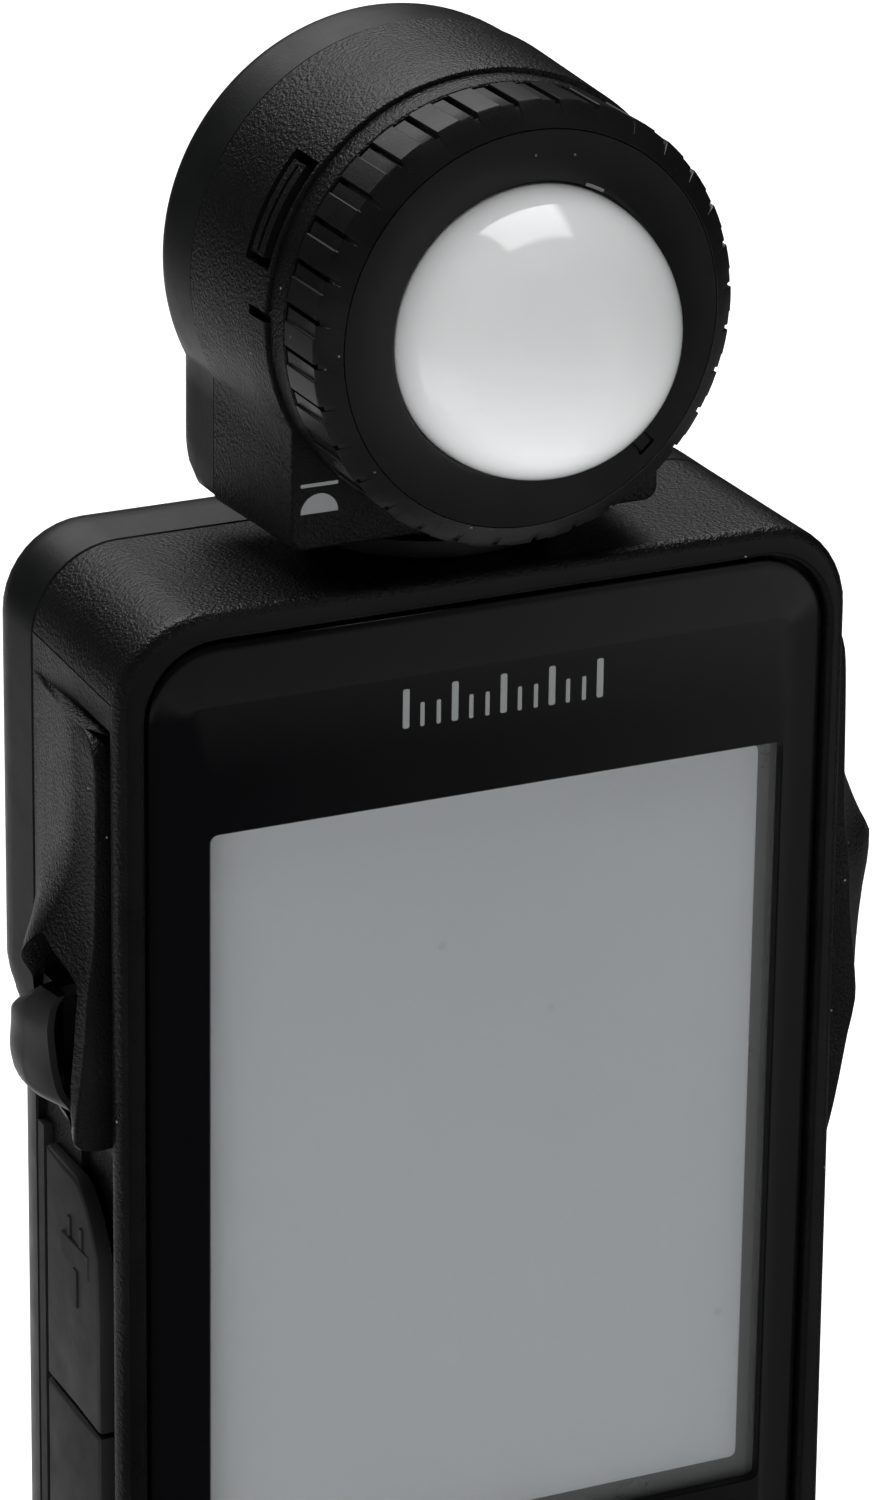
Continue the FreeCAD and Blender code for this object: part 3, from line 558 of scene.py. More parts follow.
def case_front():
    """Front half of the case, hollow and open over the screen, with recesses at both sides."""
    def loop(inset, y):
        hw = side_x(y) - inset
        top = CASE_TOP - TOP_DRAFT * y / SEAM_Y - inset
        return leaning(rounded(-hw, hw, inset, top, CASE_R - inset, y))

    ledge_y = 1.4
    inner_y = 2.6
    gap = 0.35
    lip_y = 0.42
    lip_width = 0.3
    lip_rise = 0.32
    edge_r = 0.85
    chamfer = 0.12
    loops = [rounded(-23.4, 23.4, 12.0, 93.2, 1.5, y) for y in (inner_y, ledge_y)]
    loops += [window_loop(gap, ledge_y), window_loop(gap, lip_y)]
    for degrees in (30, 60, 90):
        a = math.radians(degrees)
        loops.append(window_loop(gap + lip_width * (1 - math.cos(a)), lip_y - lip_rise * math.sin(a)))
    for degrees in (0, 8, 20, 35, 50, 65, 80, 90):
        inset, depth = edge_share(degrees)
        loops.append(loop(edge_r * inset, edge_r * depth))
    loops += [loop(0.0, y) for y in (5.0, 10.0, SEAM_Y - 0.14)]
    loops += [loop(chamfer, SEAM_Y), loop(WALL - 0.1, SEAM_Y), loop(WALL, inner_y)]
    obj = new_piece("case_front", *loft(loops, ring=True), MATERIALS["case_grain"])

    panel_feet = ((-1, 32.9), (1, 54.0))
    recess_x = 26.15
    recess_y = 1.15
    recess_z = PANEL_Z + 0.06
    cutters = [side_block(side, recess_x, OUTSIDE, recess_y, SEAM_Y + 1, foot_z, recess_z)
               for side, foot_z in panel_feet]
    cutters += [side_block(side, recess_x, OUTSIDE, recess_y, 2.95, -1, foot_z + 1)
                for side, foot_z in panel_feet]
    cutters += [side_block(side, 23.8, 30.2, 8.6, 13.2, 69.4, 77.4) for side in (-1, 1)]
    for socket_z0, socket_z1 in ((49.9, 60.3), (35.4, 44.6)):
        cutters.append(side_block(-1, 24.0, OUTSIDE, 4.2, 13.4, socket_z0, socket_z1))
    pocket_x = 25.6
    cutters.append(side_block(-1, pocket_x, OUTSIDE, 2.2, 6.0, 33.2, 66.4))
    cutters.append(side_block(-1, pocket_x, OUTSIDE, 2.3, 9.6, 57.0, 66.3))
    cutters.append(post(0, SWIVEL_Y, NECK_HOLE_R, 99, 110))
    cutters.append(post(0, 10.5, 4.7, -1, 4))
    carve(obj, *cutters)
    stands_for(obj, "case", "case_grain", "front_shell")


def rim_trim():
    """The satin band that the window sits in, a skin on the front of the case."""
    def loop(inset, y):
        hw = CASE_HW - inset
        return leaning(rounded(-hw, hw, inset, CASE_TOP - inset, CASE_R - inset, y))

    skin_y = -0.012
    foot_y = 0.09
    outer = 0.72
    loops = [window_loop(0.62, foot_y), window_loop(0.7, skin_y)]
    loops += [loop(outer + 0.14, skin_y), loop(outer, 0.0), loop(outer, foot_y)]
    obj = new_piece("rim_band", *loft(loops, ring=True), RIM)
    stands_for(obj, "case", "case_grain")


# ---- case, rear half ----
GRIP_ROLL = 8.9
TOP_ROLL = 4.6


def roll_radius(z):
    """Radius of the rolled back edge: wide beside the grip, narrow above it."""
    return track(z, [(0.0, GRIP_ROLL), (70.0, GRIP_ROLL), (74.6, TOP_ROLL), (120.0, TOP_ROLL)])


def rear_outline():
    """Outline of the rear half as (x, z), with more points along its two sides."""
    hw = CASE_HW - CASE_DRAFT
    heights = (95, 85, 78, 75.5, 74.5, 73.5, 72.5, 71.5, 70.5, 69, 64, 50, 35, 20, 10)
    base = rounded(-hw, hw, 0.0, CASE_TOP - TOP_DRAFT, CASE_R, 0.0)
    points = []
    for i, (x, _, z) in enumerate(base):
        points.append((x, z))
        next_x, _, next_z = base[(i + 1) % len(base)]
        if abs(next_x - x) < 1e-6 and abs(next_z - z) > CASE_TOP / 2:
            down_the_side = heights if z > CASE_TOP / 2 else reversed(heights)
            points += [(x, height) for height in down_the_side]
    return points


def rear_loop(y, inset, back):
    """The rear half's outline at depth y, drawn in by inset and where its back edge rolls over."""
    hw = CASE_HW - CASE_DRAFT
    top = CASE_TOP - TOP_DRAFT
    out = []
    for x, z in rear_outline():
        dx = x - max(CASE_R - hw, min(hw - CASE_R, x))
        dz = z - max(CASE_R, min(top - CASE_R, z))
        size = math.hypot(dx, dz)
        radius = max(roll_radius(z) - inset, 1.0)
        over = max(0.0, y - (back - radius))
        roll = radius - math.sqrt(max(radius ** 2 - over ** 2, 0.0))
        pull_x = inset + roll
        pull_z = inset + 0.85 * min(roll, TOP_ROLL)
        out.append((x - dx / size * pull_x, y, z - dz / size * pull_z))
    return out


def case_rear():
    """Rear half of the case, hollow, with the battery opening in its back."""
    start = SEAM_Y + SEAM_GAP
    chamfer = 0.14
    rolled = 9.0
    steps = 14
    depths = [CASE_BACK - rolled * (1 - math.sin(math.radians(90 * i / steps))) for i in range(steps + 1)]
    depths = [depth for depth in depths if depth > start + 0.3]
    inner_back = CASE_BACK - WALL
    loops = [rear_loop(depth, WALL, inner_back) for depth in reversed(depths) if depth < inner_back]
    loops += [rear_loop(start, WALL, inner_back), rear_loop(start, chamfer, CASE_BACK)]
    loops += [rear_loop(depth, 0.0, CASE_BACK) for depth in [start + chamfer] + depths]
    obj = new_piece("case_rear", *loft(loops), MATERIALS["back_charcoal"])

    cover_hw = 16.65
    cover_top = 68.15
    cover_floor = CASE_BACK - 1.6
    groove = 0.8
    past_back = CASE_BACK + 1
    cutters = [post(0, SWIVEL_Y, NECK_HOLE_R, 99, 110)]
    cutters.append(block(-cover_hw, cover_hw, cover_floor, past_back, -1, cover_top))
    cutters.append(block(-cover_hw - groove, cover_hw + groove, cover_floor, CASE_BACK - 0.75, -1, cover_top))
    cutters.append(block(-15.6, 15.6, 10, past_back, 10.6, 66.4))
    cutters += [disc(x, z, 2.3, 10, past_back) for x in (-21.5, 21.5) for z in (97.0, 8.5)]
    cutters.append(block(19.2, 22.8, CASE_BACK - 5.4, CASE_BACK + 2, -1, 5.2))
    carve(obj, *cutters)
    stands_for(obj, "case", "back_charcoal", "rear_shell")


# ---- window and screen ----
def window_frame():
    """Glossy window with a gently rolled border, open over the screen."""
    band = 4.1
    side_band = 2.6
    edge = 0.3
    flat_y = -0.02
    rise = 0.37
    mouth_y = -0.03
    foot_y = 0.75

    def loop(inset, y, side):
        hw = WINDOW_HW - side
        return rounded(-hw, hw, WINDOW_Z[0] + inset, WINDOW_Z[1] - inset, max(WINDOW_R - inset, 0.9), y)

    rim = ((0.0, foot_y), (0.0, 0.62), (0.04, 0.5), (0.14, 0.41), (edge, 0.35))
    loops = [loop(inset, y, inset) for inset, y in rim]
    steps = 10
    for i in range(1, steps + 1):
        t = i / steps
        roll_y = flat_y + rise * (1 - t) ** 1.1
        loops.append(loop(edge + (band - edge) * t, roll_y, edge + (side_band - edge) * t))
    loops.append(loop(band + 0.12, mouth_y, side_band + 0.1))
    x0, x1 = OPEN_X
    z0, z1 = OPEN_Z
    grow = 0.06
    loops.append(rounded(x0 - grow, x1 + grow, z0 - grow, z1 + grow, 0.6 + grow, mouth_y))
    loops += [rounded(x0, x1, z0, z1, 0.6, y) for y in (mouth_y + 0.06, foot_y)]
    obj = new_piece("window_frame", *loft(loops, ring=True), MATERIALS["bezel_gloss"], crease=25.0)
    for x in (-KEY_X, KEY_X):
        key_hole = [rounded(x - KEY_HOLE_HW, x + KEY_HOLE_HW, *KEY_HOLE_Z, 2.38, y) for y in (-1, 2)]
        carve(obj, loft(key_hole), crease=25.0)
    stands_for(obj, "case", "bezel_gloss", "display_bezel")


def screen():
    """The grey active area, a hair proud of the dark display module round it."""
    front = low("lcd_panel")[1]
    x0, x1 = SCREEN_X
    z0, z1 = SCREEN_Z
    chamfer = 0.03
    loops = [rounded(x0, x1, z0, z1, 0.5, y) for y in (front + 0.3, front - 0.02)]
    loops.append(rounded(x0 + chamfer, x1 - chamfer, z0 + chamfer, z1 - chamfer, 0.5, front - 0.035))
    obj = new_piece("screen_area", *loft(loops), SCREEN)
    stands_for(obj, "case", "lcd_grey")


def tick_scale():
    """A wordless scale of upright ticks on the window, in grey print."""
    middle = 0.6
    pitch = 1.2
    foot_z = 95.8
    parts = []
    for i in range(-6, 7):
        tall, half = (2.8, 0.24) if i % 3 == 0 else (1.7, 0.15)
        x = middle + pitch * i
        parts.append(print_bar(x - half, x + half, foot_z, foot_z + tall))
    obj = new_piece("window_emblem", *merged(*parts), PRINT_AND_HIGHLIGHT)
    stands_for(obj, "case", "bezel_gloss")


def print_bar(x0, x1, z0, z1, y=-0.03, thick=0.03):
    """A bar of print with rounded corners, lying on the surface at depth y."""
    r = min(x1 - x0, z1 - z0) * 0.3
    return loft([rounded(x0, x1, z0, z1, r, depth, 3) for depth in (y + 0.02, y - thick)])


# ---- wings on both sides ----
# Knots along the height: how far out and how far back the crest beside the rim lies, and the
# same for the ridge behind it.
CREST_X = [(97.4, 27.75), (96.0, 27.95), (91, 28.1), (84, 28.25), (82, 28.4), (79.3, 28.78), (75, 29.1),
           (71.4, 29.58), (69.3, 29.75)]
CREST_Y = [(97.4, 4.6), (97.1, 3.7), (96.7, 3.05), (96.0, 2.5), (95.0, 2.15), (92.0, 2.05), (69.3, 2.0)]
RIDGE_X = [(97.4, 27.8), (91, 28.3), (88.0, 28.75), (86.0, 29.4), (84.0, 30.4), (82.6, 31.15), (81.0, 32.1),
           (79.4, 32.85), (78.0, 32.8), (76.4, 32.5), (73.4, 32.05), (70.3, 31.6), (69.3, 31.45)]
LEFT_RIDGE_X = [(97.4, 27.8), (91, 28.3), (88.0, 28.7), (86.0, 29.2), (84.0, 30.0), (82.6, 30.7),
                (81.0, 31.3), (79.4, 31.6), (76.4, 31.5), (73.4, 31.0), (71.6, 30.1), (70.3, 29.2),
                (69.3, 28.5)]
RIDGE_Y = [(97.4, 6.4), (91, 5.0), (88.0, 4.9), (84.0, 5.6), (82.6, 6.0), (81.0, 6.5), (69.3, 6.6)]
# Heights of the left wing's lower lip, and how far it draws in there.
LIP = [(68.6, 0.12), (68.35, 0.4), (68.17, 0.9), (68.07, 1.6)]
RIGHT_TAIL = {
    "crest_x": [(66.0, 29.3), (61.0, 28.7), (57.0, 28.1), (54.0, 27.3)],
    "crest_y": [(66.0, 2.2), (61.0, 2.6), (57.0, 3.2), (54.0, 4.0)],
    "ridge_x": [(67.3, 31.2), (64.3, 30.8), (61.2, 30.45), (58.1, 30.0), (56.0, 29.1), (54.0, 27.4)],
    "ridge_y": [(66.0, 6.6), (61.0, 6.7), (57.0, 7.0), (54.0, 7.5)],
}
WING_HEIGHTS = (97.42, 97.2, 96.9, 96.5, 96.0, 95.4, 94.6, 93.0, 91.0, 89.0, 87.4, 86.0, 84.8, 83.8,
                82.8, 82.0, 81.2, 80.4, 79.6, 78.6, 77.4, 76.0, 74.4, 72.8, 71.2, 69.8, 68.9)
TAIL_HEIGHTS = (67.6, 66.2, 64.6, 63.0, 61.0, 59.6, 58.2, 57.0, 56.0, 55.2, 54.6, 54.1)
PANEL_BACK = 15.86
# How far the panels lie below the sides of the case where they are level with them.
PANEL_FIT = 0.02
FOOT_X = 26.2
BUTTON_FOOT_X = 27.25


def wing_slice(z, crest, ridge):
    """One slice of the right wing at height z, as a closed loop."""
    cx, cy = crest
    rx, ry = ridge
    r = 0.22
    run, rise = rx - cx, ry - cy
    behind_ridge = (rx + 0.02 * (rx - 28), ry + 1.9)
    above_seam = (27.0 + 0.25 * (rx - 27.0), 12.2)
    at_seam = (side_x(PANEL_BACK) - PANEL_FIT, PANEL_BACK)
    outer = [(FOOT_X, cy + 0.05), (cx - 0.9, cy + 0.02), (cx - r, cy)]
    outer += corner(cx - r, cy + r, r, -70, 0, 4)
    slope = bezier((cx, cy + 0.24), (cx + run * 0.3, cy + rise * 0.34),
                   (rx - run * 0.22, ry - rise * 0.42), (rx, ry), 9)
    fall = bezier((rx, ry), behind_ridge, above_seam, at_seam, 12)
    outer += slope[1:] + fall[1:]
    outer.append((FOOT_X, PANEL_BACK))
    return [(x, y, z) for x, y in outer]


def flush_slice(z, sink=0.0, draw_in=0.0):
    """A slice level with the side of the case; sink presses its front part in, fading backwards."""
    count = len(wing_slice(z, (28, 2.5), (28, 7)))
    front = 1.24
    pressed_to = 3.5
    fades_over = 8.5
    outer = [(FOOT_X, front - PANEL_FIT)]
    for i in range(count - 2):
        y = front + (PANEL_BACK - front) * i / (count - 3)
        fade = max(0.0, 1.0 - max(0.0, y - pressed_to) / fades_over)
        outer.append((side_x(y) - PANEL_FIT - sink * fade - draw_in, y))
    outer.append((FOOT_X, PANEL_BACK))
    return [(x, y, z) for x, y in outer]


def wing_panel(with_tail):
    """A wing as on the right side; with a long tail below it, or else a short lip."""
    draw_in = 0.35 if with_tail else 0.0
    start = ((PANEL_Z - 0.03, 0.0), (98.35, 0.0), (98.05, 0.42), (97.7, 0.62))
    slices = [flush_slice(z, sink, draw_in) for z, sink in start]
    heights = list(WING_HEIGHTS)
    tail = RIGHT_TAIL if with_tail else {key: [] for key in RIGHT_TAIL}
    ridge_x = RIDGE_X + tail["ridge_x"] if with_tail else LEFT_RIDGE_X
    if with_tail:
        heights += TAIL_HEIGHTS
    for z in heights:
        crest = (track(z, CREST_X + tail["crest_x"]), track(z, CREST_Y + tail["crest_y"]))
        ridge = (track(z, ridge_x), track(z, RIDGE_Y + tail["ridge_y"]))
        slices.append(wing_slice(z, crest, ridge))
    if with_tail:
        return loft(slices + [flush_slice(z) for z in (53.8, 52.0)])
    for z, step in LIP:
        slices.append(wing_slice(z, (CREST_X[-1][1] - step, 2.0), (LEFT_RIDGE_X[-1][1] - step, 6.6)))
    return loft(slices)


def through_side(outline):
    """A plug through the right side of the case from a (y, z) outline."""
    inner_x, outer_x = 25.0, 36.0
    return loft([[(x, y, z) for y, z in outline] for x in (inner_x, outer_x)])


def left_well():
    """The hole that the left button sits in, as if on the right: a pointed top, rounded corners."""
    corners = [(3.0, 69.15, 0.9), (2.75, 80.0, 0.9), (5.6, 83.2, 0.8), (9.6, 79.4, 2.0), (13.0, 76.4, 1.0),
               (13.0, 69.15, 1.0)]
    steps = 6
    outline = []
    for i, (y, z, r) in enumerate(corners):
        here = Vector((y, z))
        arm_before = (Vector(corners[i - 1][:2]) - here).normalized() * r
        arm_after = (Vector(corners[(i + 1) % len(corners)][:2]) - here).normalized() * r
        for k in range(steps + 1):
            t = k / steps
            point = here + arm_before * (1 - t) ** 2 + arm_after * t ** 2
            outline.append((point.x, point.y))
    return through_side(outline)


def right_well():
    """The hole for the right button, behind the ridge."""
    outline = []
    for cy, cz, turn in ((12.2, 79.0, 0), (8.4, 79.0, 90), (8.4, 70.2, 180), (12.2, 70.2, 270)):
        outline += corner(cy, cz, 0.8, turn, turn + 90, 6)
    return through_side(outline)


def side_wings():
    """A grained wing on each side, with the hole for its button."""
    pieces = (("left", flipped(wing_panel(False)), flipped(left_well())),
              ("right", wing_panel(True), right_well()))
    for name, shape, well in pieces:
        obj = new_piece("wing_" + name, *shape, MATERIALS["case_grain"])
        carve(obj, well, crease=30.0)
        stands_for(obj, "case", "case_grain", "side_panel_" + name)


def eased(steps):
    """Shares from 0 to 1, closer together near both ends."""
    return [0.5 - 0.5 * math.cos(math.pi * i / steps) for i in range(steps + 1)]


def fin():
    """The left button, as if on the right: a blade bent round a hollow, its outer face a smooth lens."""
    z0, z1 = 69.45, 78.1
    front_y = 5.6
    widest_y = front_y + 2.4
    square_back_y = 12.7
    slant_z = 75.4
    slant = 1.5
    bulge = [(0.0, 28.9), (0.1, 30.2), (0.21, 30.9), (0.4, 31.15), (0.56, 31.05), (0.72, 31.0), (0.85, 30.75),
             (0.94, 30.3), (1.0, 29.7)]
    edge = [(0.0, 28.5), (0.2, 29.55), (0.5, 30.05), (0.72, 30.2), (0.88, 30.0), (1.0, 29.4)]
    slices = []
    for t in eased(26):
        x = track(t, bulge)
        front_x = track(t, edge)
        z = z0 + (z1 - z0) * t
        back_y = square_back_y - max(0.0, z - slant_z) * slant
        inner_y = max(back_y - 2.6, front_y + 1.6)
        depth = inner_y - front_y
        face = bezier((front_x, front_y), (x - 0.3, front_y + 0.9), (x, front_y + 1.7), (x, widest_y), 10)
        back = bezier((x, widest_y), (x, max(back_y - 1.4, widest_y)), (x - 0.8, max(back_y - 0.5, widest_y)),
                      (x - 2.2, back_y), 10)
        inside = bezier((28.2, inner_y), (29.2, inner_y - 0.3 * depth),
                        (front_x - 0.95, front_y + 0.45 * depth), (front_x - 0.55, front_y + 0.12), 8)
        outline = inside + face + back[1:] + [(BUTTON_FOOT_X, back_y), (BUTTON_FOOT_X, inner_y)]
        slices.append([(px, py, z) for px, py in outline])
    return loft(slices)


def pad():
    """The right button: a low rounded pad behind the ridge."""
    z0, height = 69.55, 10.1
    slices = []
    for t in eased(18):
        x = 30.6 + 1.15 * math.sin(math.pi * t) ** 0.7
        outer = [(BUTTON_FOOT_X, 7.75)] + corner(x - 1.0, 8.75, 1.0, -90, 0, 6)
        outer.append((x - 0.06, 10.2))
        for degrees in range(0, 91, 15):
            a = math.radians(degrees)
            outer.append((x - 1.3 + 1.2 * math.cos(a), 11.6 + 1.25 * math.sin(a)))
        outer.append((BUTTON_FOOT_X, 12.85))
        slices.append([(px, py, z0 + height * t) for px, py in outer])
    return loft(slices)


def side_buttons():
    """Each button is a blade or pad on a stem that reaches into the case."""
    stem = block(24.4, 27.6, 9.0, 12.6, 70.0, 76.8)
    pieces = (("measuring_button", flipped(fin()), flipped(stem)), ("memory_button", pad(), stem))
    for node, blade, foot in pieces:
        obj = new_piece(node + "_paddle", *blade, MATERIALS["button_satin"], crease=40.0)
        unite(obj, foot, crease=40.0)
        stands_for(obj, node + "_body", "button_satin", node)


def well_ribs():
    """A curved rib, a straight one and a peg, moulded on the floor of the left button's well."""
    floor_x = -26.1
    rib_x = -27.6
    arc = []
    for i in range(19):
        a = math.radians(20 + 250 * i / 18)
        arc.append([(x, 6.0 + r * math.cos(a), 79.6 + r * math.sin(a))
                    for x, r in ((floor_x, 1.35), (rib_x, 1.35), (rib_x, 1.1), (floor_x, 1.1))])
    rail = [(4.1, 78.3), (4.35, 78.3), (4.9, 70.2), (4.65, 70.2)]
    leg = loft([[(x, y, z) for y, z in rail] for x in (floor_x, -27.4)])
    peg = loft([[(x, y, z) for y, z in circle(3.9, 79.2, 0.32, 12)] for x in (floor_x, -27.9)])
    obj = new_piece("well_ribs", *merged(loft(arc), leg, peg), MATERIALS["inner_plastic"])
    stands_for(obj, "case", "inner_plastic")


# ---- port covers ----
COVER_RISE = 0.16


def cover_plate(outline, plug, name, body, node):
    """A rubber cover from a (y, z) outline, its face level with the case side and its edges eased."""
    middle_y = sum(y for y, _ in outline) / len(outline)
    middle_z = sum(z for _, z in outline) / len(outline)

    def loop(inset, rise):
        points = []
        for i, (y, z) in enumerate(outline):
            before_y, before_z = outline[i - 1]
            after_y, after_z = outline[(i + 1) % len(outline)]
            dy, dz = after_z - before_z, before_y - after_y
            size = math.hypot(dy, dz) or 1.0
            sign = -1.0 if dy * (y - middle_y) + dz * (z - middle_z) > 0 else 1.0
            points.append((y + sign * dy / size * inset, z + sign * dz / size * inset))
        return [(-(side_x(y) + rise), y, z) for y, z in points]

    inner = [(-FOOT_X, y, z) for y, z in outline]
    loops = [inner, loop(0.0, -0.15), loop(0.06, 0.02), loop(0.2, 0.12), loop(0.42, COVER_RISE)]
    obj = new_piece(name, *loft(loops), MATERIALS["rubber_black"], crease=35.0)
    unite(obj, plug, crease=35.0)
    stands_for(obj, body, "rubber_black", node)


def port_covers():
    """The covers over the data port and, below it, the sync socket."""
    top = high("usb_cap")[2] - 1.1
    split = low("usb_cap")[2] + 0.1
    rear_y = high("usb_cap")[1] - 0.75
    front_y = 3.75
    bend_y = 8.0
    shoulder = bezier((8.4, top), (6.8, top - 0.3), (5.2, top - 2.0), (front_y + 0.35, top - 4.4), 8)
    upper = [(rear_y, top), (10.5, top)] + shoulder + [(front_y + 0.06, 54.8), (front_y, split)]
    upper += [(bend_y, split), (rear_y, split), (rear_y, 54.8)]
    plug = block(-FOOT_X - 0.1, -24.9, 7.2, 10.6, 52.3, 58.5)
    cover_plate(upper, plug, "data_port_cover", "usb_cap_body", "usb_cap")

    head_z = high("sync_cap")[2] - 0.12
    foot_z = low("sync_cap")[2]
    middle_z = 39.0
    foot = bezier((front_y, foot_z + 2.4), (front_y, foot_z + 0.6), (4.9, foot_z), (6.6, foot_z), 6)
    lower = [(rear_y, head_z), (bend_y, head_z), (front_y, head_z), (front_y, middle_z)]
    lower += foot + [(rear_y, foot_z), (rear_y, middle_z)]
    plug = block(-FOOT_X - 0.1, -24.8, 7.8, 9.8, 39.0, 41.0)
    cover_plate(lower, plug, "sync_port_cover", "sync_cap_body", "sync_cap")


def port_symbol():
    """A generic plug on the data cover: a square body, two prongs and a tail."""
    def stroke(y0, y1, z0, z1):
        base_x = side_x((y0 + y1) / 2) + COVER_RISE
        loops = []
        for grow, out in ((0.0, -0.1), (0.0, 0.096), (-0.07, 0.16)):
            section = [(y0 - grow, z0 - grow), (y1 + grow, z0 - grow), (y1 + grow, z1 + grow),
                       (y0 - grow, z1 + grow)]
            loops.append([(-(base_x + out), y, z) for y, z in section])
        return loft(loops)

    body = stroke(5.6, 10.4, 56.6, 58.4)
    prongs = [stroke(y, y + 0.5, 58.5, 60.0) for y in (6.6, 8.9)]
    tail = stroke(7.7, 8.3, 53.6, 56.5)
    obj = new_piece("port_symbol", *merged(body, *prongs, tail), MATERIALS["rubber_black"])
    stands_for(obj, "usb_cap_body", "rubber_black")


# ---- head ----
def head_outline(inset, bottom, y):
    """Outline of the drum on its base block at depth y."""
    taper = HEAD_DRAFT * max(0.0, HEAD_SEAM_Y - y)
    r = HEAD_R - inset - taper
    hw = HEAD_BASE_HW - inset - 1.6 * taper
    join_deg = math.degrees(math.acos(hw / r))
    join_z = HEAD_Z - r * math.sin(math.radians(join_deg))
    foot = 0.9
    low_z = bottom + inset
    fall = join_z - low_z - foot
    points = corner(0, HEAD_Z, r, -join_deg, 180 + join_deg, 96)
    points += [(-hw, join_z - fall * share) for share in (0.25, 0.5, 0.75)]
    points += corner(-hw + foot, low_z + foot, foot, 180, 270, 5)
    points += [(-hw + foot + (2 * hw - 2 * foot) * k / 8, low_z) for k in range(1, 8)]
    points += corner(hw - foot, low_z + foot, foot, 270, 360, 5)
    points += [(hw, join_z - fall * share) for share in (0.75, 0.5, 0.25)]
    return [(x, y, z) for x, z in points]


def radial(loop, r, y):
    """The same loop pulled onto a circle round the head's axis."""
    out = []
    for x, _, z in loop:
        size = math.hypot(x, z - HEAD_Z)
        out.append((x / size * r, y, HEAD_Z + (z - HEAD_Z) / size * r))
    return out


# First and last angle of each accessory slot round the head's axis.
SLOTS = ((138.0, 167.0), (13.0, 42.0))
HOLLOW_TOP = 113.0


def head_front():
    """Front half of the head: bored for the ring, with an accessory slot and its rail on each side."""
    guide = head_outline(0.0, HEAD_BASE_Z, HEAD_FRONT)
    step_y = 1.3
    seat = ((HEAD_BORE_R, HEAD_SEAM_Y), (HEAD_BORE_R, step_y), (14.9, step_y), (15.02, step_y + 0.12),
            (15.06, HEAD_FRONT - 0.2), (15.1, HEAD_FRONT))
    loops = [radial(guide, r, y) for r, y in seat]
    edge_r = 0.2
    for degrees in (0, 22, 45, 68, 90):
        inset, depth = edge_share(degrees)
        loops.append(head_outline(edge_r * inset, HEAD_BASE_Z, HEAD_FRONT + edge_r * depth))
    chamfer = 0.15
    loops += [head_outline(0.0, HEAD_BASE_Z, y) for y in (8.0, 12.0, HEAD_SEAM_Y - chamfer)]
    loops.append(head_outline(chamfer, HEAD_BASE_Z, HEAD_SEAM_Y))
    obj = new_piece("head_front", *loft(loops, ring=True), MATERIALS["case_grain"])

    proud = HEAD_R + 1
    y0, y1 = HEAD_FRONT + 0.3, HEAD_FRONT + 3.6
    cutters = [wedge(HEAD_R - 1.6, proud, first, last, y0, y1) for first, last in SLOTS]
    cutters.append(wedge(HEAD_R - 1.0, proud, 177.0, 179.6, HEAD_FRONT - 0.1, 5.6, 4))
    cutters.append(block(-12.2, 12.2, HEAD_FRONT + 1.7, HEAD_SEAM_Y + 1, HEAD_BASE_Z + WALL, HOLLOW_TOP))
    cutters.append(post(0, SWIVEL_Y, SPIGOT_HOLE_R, 100, 112))
    carve(obj, *cutters, crease=30.0)
    middle_y = (y0 + y1) / 2
    for first, last in SLOTS:
        rail = wedge(HEAD_R - 1.9, HEAD_R - 0.35, first + 2.4, last - 2.4, y0 + 0.9, y1 - 0.6)
        unite(obj, rail, crease=30.0)
        groove = wedge(HEAD_R - 0.75, proud, first + 3.2, last - 3.2, middle_y, middle_y + 0.35)
        carve(obj, groove, crease=30.0)
    stands_for(obj, "head", "case_grain", "head_front_shell")


def head_rear():
    """Rear half of the head, its back edge rolled and its foot rising towards the back."""
    start = HEAD_SEAM_Y + SEAM_GAP
    radius = 2.3
    base_back = HEAD_BACK - 0.9
    inner_y = HEAD_BACK - 3.2
    step = 0.12

    def bottom(y):
        return HEAD_BASE_Z + max(0.0, y - base_back + 2.0) * 1.5

    guide = head_outline(0.2, HEAD_BASE_Z, start)
    loops = [radial(guide, r, inner_y) for r in (1.5, 7.0, HEAD_BORE_R)]
    loops += [radial(guide, HEAD_BORE_R, start), head_outline(2 * step, HEAD_BASE_Z, start),
              head_outline(step, HEAD_BASE_Z, start + step)]
    for y in (16.2, 17.4, HEAD_BACK - radius):
        loops.append(head_outline(step, bottom(y), y))
    steps = 10
    for i in range(1, steps + 1):
        a = math.radians(90 * i / steps)
        y = HEAD_BACK - radius + radius * math.sin(a)
        roll = radius * (1 - math.cos(a))
        loops.append(head_outline(step + roll, bottom(y) - 0.75 * roll, y))
    obj = new_piece("head_rear", *loft(loops), MATERIALS["back_charcoal"])
    cutters = [post(0, SWIVEL_Y, SPIGOT_HOLE_R, 100, 112)]
    cutters.append(block(-12, 12, start - 1, start + 3.9, HEAD_BASE_Z + WALL, HOLLOW_TOP))
    cutters += [disc(x, 112.6, 1.85, start + 1.4, HEAD_BACK + 1) for x in (-11.2, 11.2)]
    carve(obj, *cutters, crease=30.0)
    stands_for(obj, "head", "back_charcoal", "head_rear_cover")


def dome_symbol():
    """A bar over a half dome, printed on the front of the head's base."""
    x0, z0 = -11.5, 110.6
    r = 1.35
    layers = (HEAD_FRONT + 0.02, HEAD_FRONT - 0.035)
    dome = loft([[(x, y, z) for x, z in corner(x0, z0, r, 0, 180, 20)] for y in layers])
    bar = loft([rounded(x0 - r, x0 + r, z0 + 1.85, z0 + 2.1, 0.08, y, 3) for y in layers])
    obj = new_piece("dome_symbol", *merged(dome, bar), PRINT_AND_HIGHLIGHT)
    stands_for(obj, "head", "case_grain")


